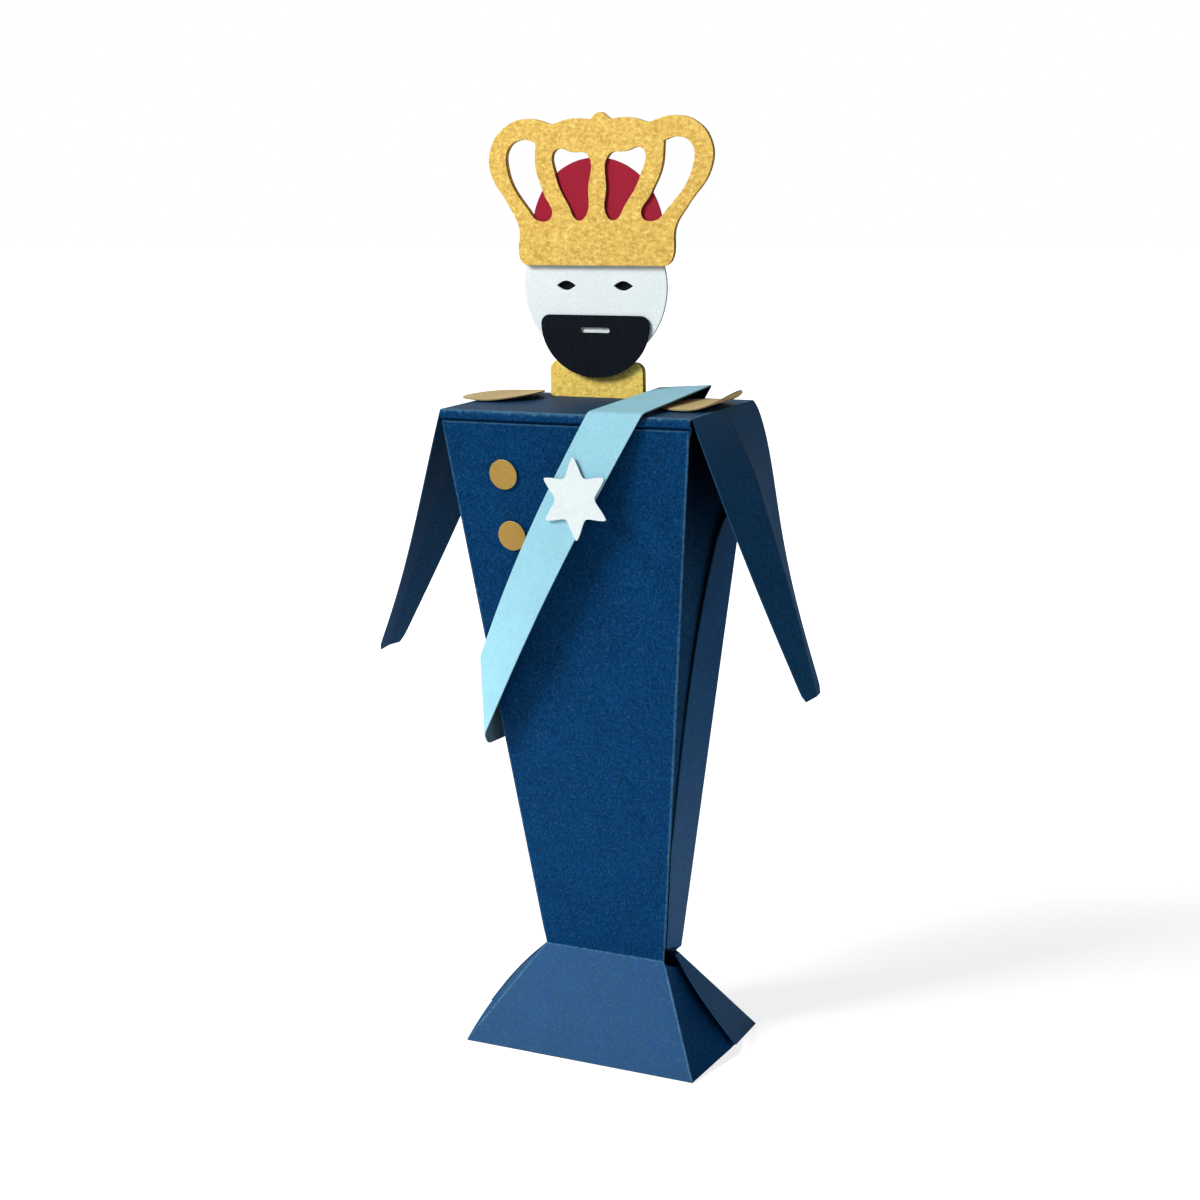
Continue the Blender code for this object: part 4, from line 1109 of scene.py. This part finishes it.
def crown_loop(half, side, x, top=None):
    """Points of one opening, or of the whole outline when top closes it in the middle."""
    points = [crown_point(x, side * across, height, kind) for across, height, kind in half]
    if top is not None:
        points.append(crown_point(x, 0.0, top, "smooth"))
        points += [crown_point(x, -side * across, height, kind) for across, height, kind in reversed(half)]
    return points


def crown_outlines(x):
    """The whole outline and its four openings."""
    outlines = [crown_loop(CROWN_HALF, 1, x, CROWN_KNOB_HEIGHT)]
    for side in (-1, 1):
        outlines.append(crown_loop(CROWN_OUTER_HOLE, side, x))
        outlines.append(crown_loop(CROWN_INNER_HOLE, side, x))
    return outlines


def make_neck(gold, gold_edge):
    """Two gold strips, the front one brighter: painted light against the shade that the head and the plate
    cast on it.
    """
    front = [neck_outline(NECK_X, True)]
    rear = [neck_outline(NECK_X + NECK_REAR_SHIFT, False)]
    neck_painted_light = [gold_card("gold_neck_painted_light", NECK_PAINTED_LIGHT_GAIN), gold_edge]
    make_upright("neck_front_card", front, NECK_Y, neck_painted_light, "gold_card", "neck_front")
    make_upright("neck_rear_card", rear, NECK_Y + LAYER, [gold, gold_edge], "gold_card", "neck_rear")


def make_face(black):
    """The white disc with its eye openings, and the dark strip behind them."""
    white = plain_card("white_card_face", FACE_WHITE, grain=0.40, mottle=0.10, roughness=0.75)
    white_edge = cut_edge("white_cut_edge", WHITE_CORE)
    disc = [circle((FACE_X, FACE_Z), FACE_RADIUS)]
    disc += [almond((eye_x(side), FACE_Z), EYE_LENGTH, EYE_HEIGHT) for side in (-1, 1)]
    make_upright("face_card", disc, FACE_Y, [white, white_edge], "white_card", "face_disc", FACE_CARD)
    backing = rounded_box(
        eye_x(-1) - EYE_LENGTH / 2 - EYE_MARGIN, FACE_Z - EYE_HEIGHT / 2 - EYE_MARGIN,
        eye_x(1) + EYE_LENGTH / 2 + EYE_MARGIN, FACE_Z + EYE_HEIGHT / 2 + EYE_MARGIN, EYE_MARGIN,
    )
    make_upright("eye_backing_card", [backing], NECK_Y, black, "black_card", "eye_backing")


def make_beard(black):
    """The beard with its mouth opening, two thirds down the lower half of the head."""
    mouth_z = FACE_Z - FACE_RADIUS * 5 / 9
    mouth = rounded_box(
        BEARD_X - MOUTH_WIDTH / 2, mouth_z - MOUTH_HEIGHT / 2,
        BEARD_X + MOUTH_WIDTH / 2, mouth_z + MOUTH_HEIGHT / 2, MOUTH_HEIGHT * 0.45,
    )
    make_upright("beard_card", [beard_outline(), mouth], TRIM_Y, black, "black_card", "beard")


def make_cap():
    """A disc cut off level above the crown's base."""
    red = plain_card("red_card_face", RED, grain=0.4, mottle=0.1, roughness=0.7)
    cut_angle = math.degrees(math.asin((CAP_CUT_Z - CAP_Z) / CAP_RADIUS))
    outline = arc((CAP_X, CAP_Z), CAP_RADIUS, cut_angle, 180 - cut_angle, 90)
    materials = [red, cut_edge("red_cut_edge", RED_CORE)]
    make_upright("cap_card", [outline], TRIM_Y, materials, "red_card", "cap_disc")


def make_head():
    """Everything above the shoulders, from the neck to the two crowns."""
    gold = [gold_card("gold_leather_grain", GOLD_GAIN), cut_edge("gold_cut_edge", GOLD_CORE)]
    black_face = plain_card("black_card_face", BLACK, grain=1.6, roughness=0.7, specular=0.02)
    black = [black_face, cut_edge("black_cut_edge", BLACK_CORE)]
    make_neck(*gold)
    make_face(black)
    make_beard(black)
    make_cap()
    rear_x = CROWN_X + REAR_CROWN_SHIFT
    make_upright("front_crown_card", crown_outlines(CROWN_X), CROWN_Y, gold, "gold_card", "front_crown")
    make_upright("rear_crown_card", crown_outlines(rear_x), NECK_Y, gold, "gold_card", "rear_crown")


# Trim


def disc_surface(radius, centre, z, curl, rows=33):
    """A square grid drawn onto a disc, raised by a function of the share of its radius along X."""
    across, along = np.meshgrid(np.linspace(-1, 1, rows), np.linspace(-1, 1, rows))
    x = across * np.sqrt(1 - along ** 2 / 2)
    y = along * np.sqrt(1 - across ** 2 / 2)
    return np.stack([centre[0] + x * radius, centre[1] + y * radius, z + curl(x)], axis=2)


def left_curl(x):
    """Lifts the disc's right side by a power and lets its left side droop by a square."""
    lift = LEFT_EPAULETTE_LIFT * np.maximum(0, x) ** LEFT_LIFT_POWER
    return lift - LEFT_EPAULETTE_DROOP * np.maximum(0, -x - LEFT_DROOP_START) ** 2


def right_curl(x):
    """Curls the disc's right side up by a square."""
    return RIGHT_EPAULETTE_CURL * (np.maximum(0, x - RIGHT_CURL_START) / (1 - RIGHT_CURL_START)) ** 2


def make_epaulettes():
    """Two discs a layer over the plate, each with its own curl."""
    tan = plain_card("tan_card_face", TAN, grain=0.4, roughness=0.5)
    edge = cut_edge("tan_cut_edge", TAN_CORE)
    for name, centre, curl in (
        ("left_epaulette", LEFT_EPAULETTE, left_curl),
        ("right_epaulette", RIGHT_EPAULETTE, right_curl),
    ):
        mesh = surface(name + "_card", [disc_surface(EPAULETTE_RADIUS, centre, PLATE_Z + LAYER, curl)])
        finish_faces(mesh, [tan, edge])
        piece = add_piece(name + "_card", mesh, "body", "tan_card", name)
        thicken(piece, softness=0.06 * MM, fold_angle=40.0)


def make_buttons():
    """Two discs, a layer over the chest panel and leaning as it does."""
    gold = plain_card("button_gold_face", BUTTON_GOLD, roughness=0.5, specular=0.2, metallic=0.3)
    materials = [gold, cut_edge("button_cut_edge", BUTTON_CORE)]
    lean_back = math.atan2(KNEE_FRONT_Y - CHEST_FRONT_Y, CHEST_TOP_Z - KNEE_Z)
    up = [0.0, -math.sin(lean_back), math.cos(lean_back)]
    outward = [0.0, -math.cos(lean_back), -math.sin(lean_back)]
    axes = np.array([[1.0, 0.0, 0.0], up, outward])
    for name, (x, z) in (("upper_button", UPPER_BUTTON), ("lower_button", LOWER_BUTTON)):
        middle = np.array([x, front_y(z) - LAYER * math.cos(lean_back), z])
        outline = circle((0.0, 0.0), BUTTON_RADIUS, 64)
        add_flat(name + "_card", [outline], middle, axes, materials, "gold_card", name)


def sash_top():
    """Upper and lower edge points of the sash's fold over the front of the shoulder plate."""
    y = front_y(PLATE_Z) - SASH_FRONT_STAND
    z = PLATE_Z + CARD / 2 + SASH_LIFT
    return np.array([[SASH_TOP_LEFT_X, y, z], [SASH_TOP_LEFT_X + SASH_TOP_WIDTH, y, z]])


def sash_corner():
    """Edge points of the sash's fold in front of the body's left side."""
    x = -(half_width(SASH_SIDE_TOP_Z) + LAYER + SASH_SIDE_STAND)
    y = front_y((SASH_SIDE_TOP_Z + SASH_SIDE_BOTTOM_Z) / 2) - SASH_SIDE_FRONT_STAND
    return np.array([
        [x + SASH_CORNER_TOP_LEAN, y, SASH_SIDE_TOP_Z],
        [x + SASH_CORNER_LOW_LEAN, y, SASH_SIDE_BOTTOM_Z],
    ])


def sash_front(share):
    """Edge points of the front leg, bowed forward by a sine on its way from the top to the corner."""
    bow = np.array([0.0, -SASH_FRONT_BOW * math.sin(math.pi * share), 0.0])
    return sash_top() + (sash_corner() - sash_top()) * share + bow


def sash_back_stations():
    """Edge points at the folds round the left side, up the back and behind the shoulder plate."""
    x = sash_corner()[0, 0] - SASH_CORNER_TOP_LEAN
    upper = SASH_SIDE_TOP_Z
    lower = SASH_SIDE_BOTTOM_Z
    front = sash_corner()[0, 1]
    rear = rear_y((upper + lower) / 2) + SASH_SIDE_REAR_STAND
    turn = front + SASH_TURN_RUN
    turn_z = lower - SASH_SIDE_DROP * SASH_TURN_DROP_SHARE
    tuck = (front + rear) / 2
    plate_rear = rear_y(PLATE_Z) + SASH_REAR_STAND
    (left_x, _, top_z), (right_x, _, _) = sash_top()
    top_z += SASH_REAR_LIFT
    return [
        [[x, turn, upper - SASH_TURN_SAG], [x + SASH_TURN_LEAN, turn, turn_z]],
        [[x, tuck, upper - SASH_TUCK_SAG], [x + SASH_TUCK_LEAN, tuck, lower - SASH_SIDE_DROP]],
        [[x, rear, upper], [x + SASH_REAR_LEAN, rear, lower]],
        [[left_x, plate_rear, top_z], [right_x, plate_rear, top_z + SASH_REAR_TWIST]],
    ]


def rounded_corner(before, corner, after, reach, steps=7):
    """Points on a parabola that leaves the way in and meets the way out at reach from the corner."""
    way_in = before - corner
    way_out = after - corner
    start = corner + way_in * (reach / np.linalg.norm(way_in, axis=1, keepdims=True))
    end = corner + way_out * (reach / np.linalg.norm(way_out, axis=1, keepdims=True))
    share = np.linspace(0, 1, steps)[:, None, None]
    return (1 - share) ** 2 * start + 2 * share * (1 - share) * corner + share ** 2 * end


def sash_surface():
    """Closed ribbon: pairs of edge points along the bowed front leg and round the rounded folds."""
    leg = np.array([sash_front(share) for share in np.linspace(0, 1, 31)])
    back = np.array(sash_back_stations())
    keys = [leg[-1], *back, leg[0]]
    before = [leg[-2], *keys[:-1]]
    after = [*keys[1:], leg[1]]
    path = [leg[1:-1]]
    for reach, first, corner, last in zip(SASH_FOLD_REACHES, before, keys, after):
        path.append(rounded_corner(first, corner, last, reach))
    line = np.concatenate(path)
    line = np.concatenate([line, line[:1]])
    across = np.linspace(0, 1, 5)[None, :, None]
    return line[:, :1] + (line[:, 1:] - line[:, :1]) * across


def make_sash():
    """The loop, its back darker as painted shade, and darker still as painted shadow wherever it lies above
    the body's left side.
    """
    sky = plain_card("sky_card_face", SKY, grain=0.45, mottle=0.15, roughness=0.6)
    back = plain_card("sky_card_painted_shade_back", SKY_PAINTED_SHADE_BACK)
    shaded_back = plain_card("sky_card_painted_deep_shade_back", SKY_PAINTED_DEEP_SHADE_BACK)
    edge = cut_edge("sky_cut_edge_painted_shade", SKY_CORE_PAINTED_SHADE)
    mesh = surface("sash_card", [sash_surface()])
    high = face_values(mesh, "center")[:, 2] > SASH_SIDE_TOP_Z
    finish_faces(mesh, [sky, edge, back, sky, edge, shaded_back], 3 * high)
    piece = add_piece("sash_card", mesh, "body", "sky_card", "sash")
    thicken(piece, softness=0.05 * MM, fold_angle=40.0, back=2)


def star_outline():
    """Six points: the radius falls from each tip to the valleys beside it by a power of the way there.

    The way is rounded next to the tip, and the whole star is slightly slimmer across.
    """
    angle = np.linspace(0, 2 * np.pi, 192, endpoint=False)
    turns = angle * 3 / np.pi
    away = 2 * np.abs(turns - np.round(turns))
    away = (np.sqrt(away ** 2 + STAR_TIP_SOFTNESS ** 2) - STAR_TIP_SOFTNESS) / (1 - STAR_TIP_SOFTNESS)
    swell = np.clip(1 - away, 0, 1) ** STAR_SHARPNESS
    radius = STAR_WAIST_RADIUS + (STAR_TIP_RADIUS - STAR_WAIST_RADIUS) * swell
    turned = angle + np.pi / 2 + STAR_TURN
    return np.stack([radius * np.cos(turned) * STAR_SLIMNESS, radius * np.sin(turned)], axis=1).tolist()


def make_star():
    """The star, a layer over the sash and turned to lie on it."""
    upper, lower = sash_front(STAR_SHARE)
    along = sash_front(STAR_SHARE + STAR_SPAN)[0] - sash_front(STAR_SHARE - STAR_SPAN)[0]
    outward = np.cross(lower - upper, along)
    outward /= -math.copysign(np.linalg.norm(outward), outward[1])
    right = np.array([1.0, 0.0, 0.0]) - outward * outward[0]
    right /= np.linalg.norm(right)
    axes = np.array([right, np.cross(outward, right), outward])
    middle = upper + (lower - upper) * STAR_ACROSS + outward * LAYER
    white = plain_card("star_white_face", WHITE, grain=0.30, mottle=0.10, roughness=0.75, depth=0.045 * MM)
    materials = [white, cut_edge("star_cut_edge", WHITE_CORE)]
    add_flat("star_card", [star_outline()], middle, axes, materials, "white_card", "star")


# Stage, light and camera

AMBIENT = 0.10
FLOOR_HALF = 3.0
# The floor's light, each pair as the distances in metres from the figure between which it changes.
FLOOR_GLOW = 1.30
FLOOR_GLOW_RISE = (0.03, 0.06)
FLOOR_GLOW_FALL = (0.08, 0.22)
FLOOR_SEEN_NEAR = 0.80
FLOOR_SEEN_GAIN = 0.35
FLOOR_SEEN_RISE = (0.10, 0.45)


def make_floor():
    """A wide pale floor at z = 0 that shows near white to the camera and keeps the figure's shadow.

    Round the figure it also gives other surfaces some light of its own, as a lit table does.
    """
    corners = np.array([(-1, -1, 0), (1, -1, 0), (1, 1, 0), (-1, 1, 0)]) * FLOOR_HALF
    mesh = bpy.data.meshes.new("floor")
    mesh.from_pydata(corners.tolist(), [], [(0, 1, 2, 3)])
    shader = Shader("pale_floor")
    seen = Value(shader, shader.node("ShaderNodeLightPath").outputs["Is Camera Ray"])
    away = Value(shader, shader.vector("LENGTH", (shader.places,), "Value"))
    bounce = FLOOR_GLOW * away.step(*FLOOR_GLOW_RISE) * (1.0 - away.step(*FLOOR_GLOW_FALL))
    glow = bounce + seen * (FLOOR_SEEN_NEAR + away.step(*FLOOR_SEEN_RISE) * FLOOR_SEEN_GAIN - bounce)
    shader.set(
        Base_Color=grey(0.65), Roughness=1.0, Specular_IOR_Level=0.0, Emission_Strength=1.0,
        Emission_Color=shader.tint(grey(1.0), glow),
    )
    mesh.materials.append(shader.material)
    floor = bpy.data.objects.new("floor", mesh)
    bpy.context.scene.collection.objects.link(floor)


def make_world():
    """White where the camera or a reflection looks past the figure, a soft fill for everything else."""
    world = bpy.data.worlds.new("studio")
    world.use_nodes = True
    tree = world.node_tree
    background = tree.nodes["Background"]
    background.inputs["Color"].default_value = grey(1.0)
    path = tree.nodes.new("ShaderNodeLightPath")
    seen = tree.nodes.new("ShaderNodeMath")
    seen.operation = "MAXIMUM"
    tree.links.new(path.outputs["Is Camera Ray"], seen.inputs[0])
    tree.links.new(path.outputs["Is Glossy Ray"], seen.inputs[1])
    strength = tree.nodes.new("ShaderNodeMapRange")
    strength.inputs["To Min"].default_value = AMBIENT
    strength.inputs["To Max"].default_value = 1.0
    tree.links.new(seen.outputs[0], strength.inputs["Value"])
    tree.links.new(strength.outputs[0], background.inputs["Strength"])
    bpy.context.scene.world = world


def outlook(azimuth, elevation):
    """Unit way from the figure, in degrees from straight in front (-Y) to the right, and upwards."""
    turn = math.radians(azimuth)
    rise = math.radians(elevation)
    return np.array([math.sin(turn) * math.cos(rise), -math.cos(turn) * math.cos(rise), math.sin(rise)])


def aim(name, data, target, back, distance, roll=0.0):
    """Adds a lamp or camera at a distance along the way back from its target, and turns it there."""
    right = np.cross([0.0, 0.0, 1.0], back)
    right /= np.linalg.norm(right)
    up = np.cross(back, right)
    axes = np.identity(4)
    axes[:3, 0] = math.cos(roll) * right + math.sin(roll) * up
    axes[:3, 1] = math.cos(roll) * up - math.sin(roll) * right
    axes[:3, 2] = back
    axes[:3, 3] = target + back * distance
    holder = bpy.data.objects.new(name, data)
    holder.matrix_world = Matrix(axes.tolist())
    bpy.context.scene.collection.objects.link(holder)
    return holder


def add_lamp(name, azimuth, elevation, distance, size, power):
    """A square soft lamp that looks at the middle of the figure."""
    lamp = bpy.data.lights.new(name, "AREA")
    lamp.shape = "SQUARE"
    lamp.size = size
    lamp.energy = power
    aim(name, lamp, np.array([0.0, 0.0, 90.0 * MM]), outlook(azimuth, elevation), distance)


def make_camera():
    """The photograph's view, with its slight roll and its framing."""
    camera = bpy.data.cameras.new("camera")
    camera.sensor_width = 36.0
    camera.lens = 63.63
    camera.shift_x = -0.0004
    camera.shift_y = -0.0208
    camera.clip_start = 0.01
    target = np.array([FIGURE_X, 0.0, 103.77 * MM])
    back = outlook(azimuth=26.75, elevation=11.715)
    roll = math.radians(-1.317)
    bpy.context.scene.camera = aim("camera", camera, target, back, distance=450.3 * MM, roll=roll)


make_shells()
make_yoke()
# Each arm has its own copy of the navy: darker on the left as painted shade, lighter on the right as
# painted light
make_arm("left_arm", NAVY_LEFT_ARM_PAINTED_SHADE, -1, LEFT_ARM_SPREAD, LEFT_ARM_CREASE, left_front_edge, even_dip)
make_arm("right_arm", NAVY_RIGHT_ARM_PAINTED_LIGHT, 1, RIGHT_ARM_SPREAD, RIGHT_ARM_CREASE, even_dip, right_rear_edge)
make_head()
make_epaulettes()
make_buttons()
make_sash()
make_star()
make_floor()
make_world()
add_lamp("key_lamp", azimuth=-42.0, elevation=36.0, distance=1.2, size=0.45, power=14.6)
add_lamp("side_lamp", azimuth=78.0, elevation=5.0, distance=1.2, size=0.35, power=1.0)
make_camera()
bpy.context.scene.view_settings.view_transform = "Standard"
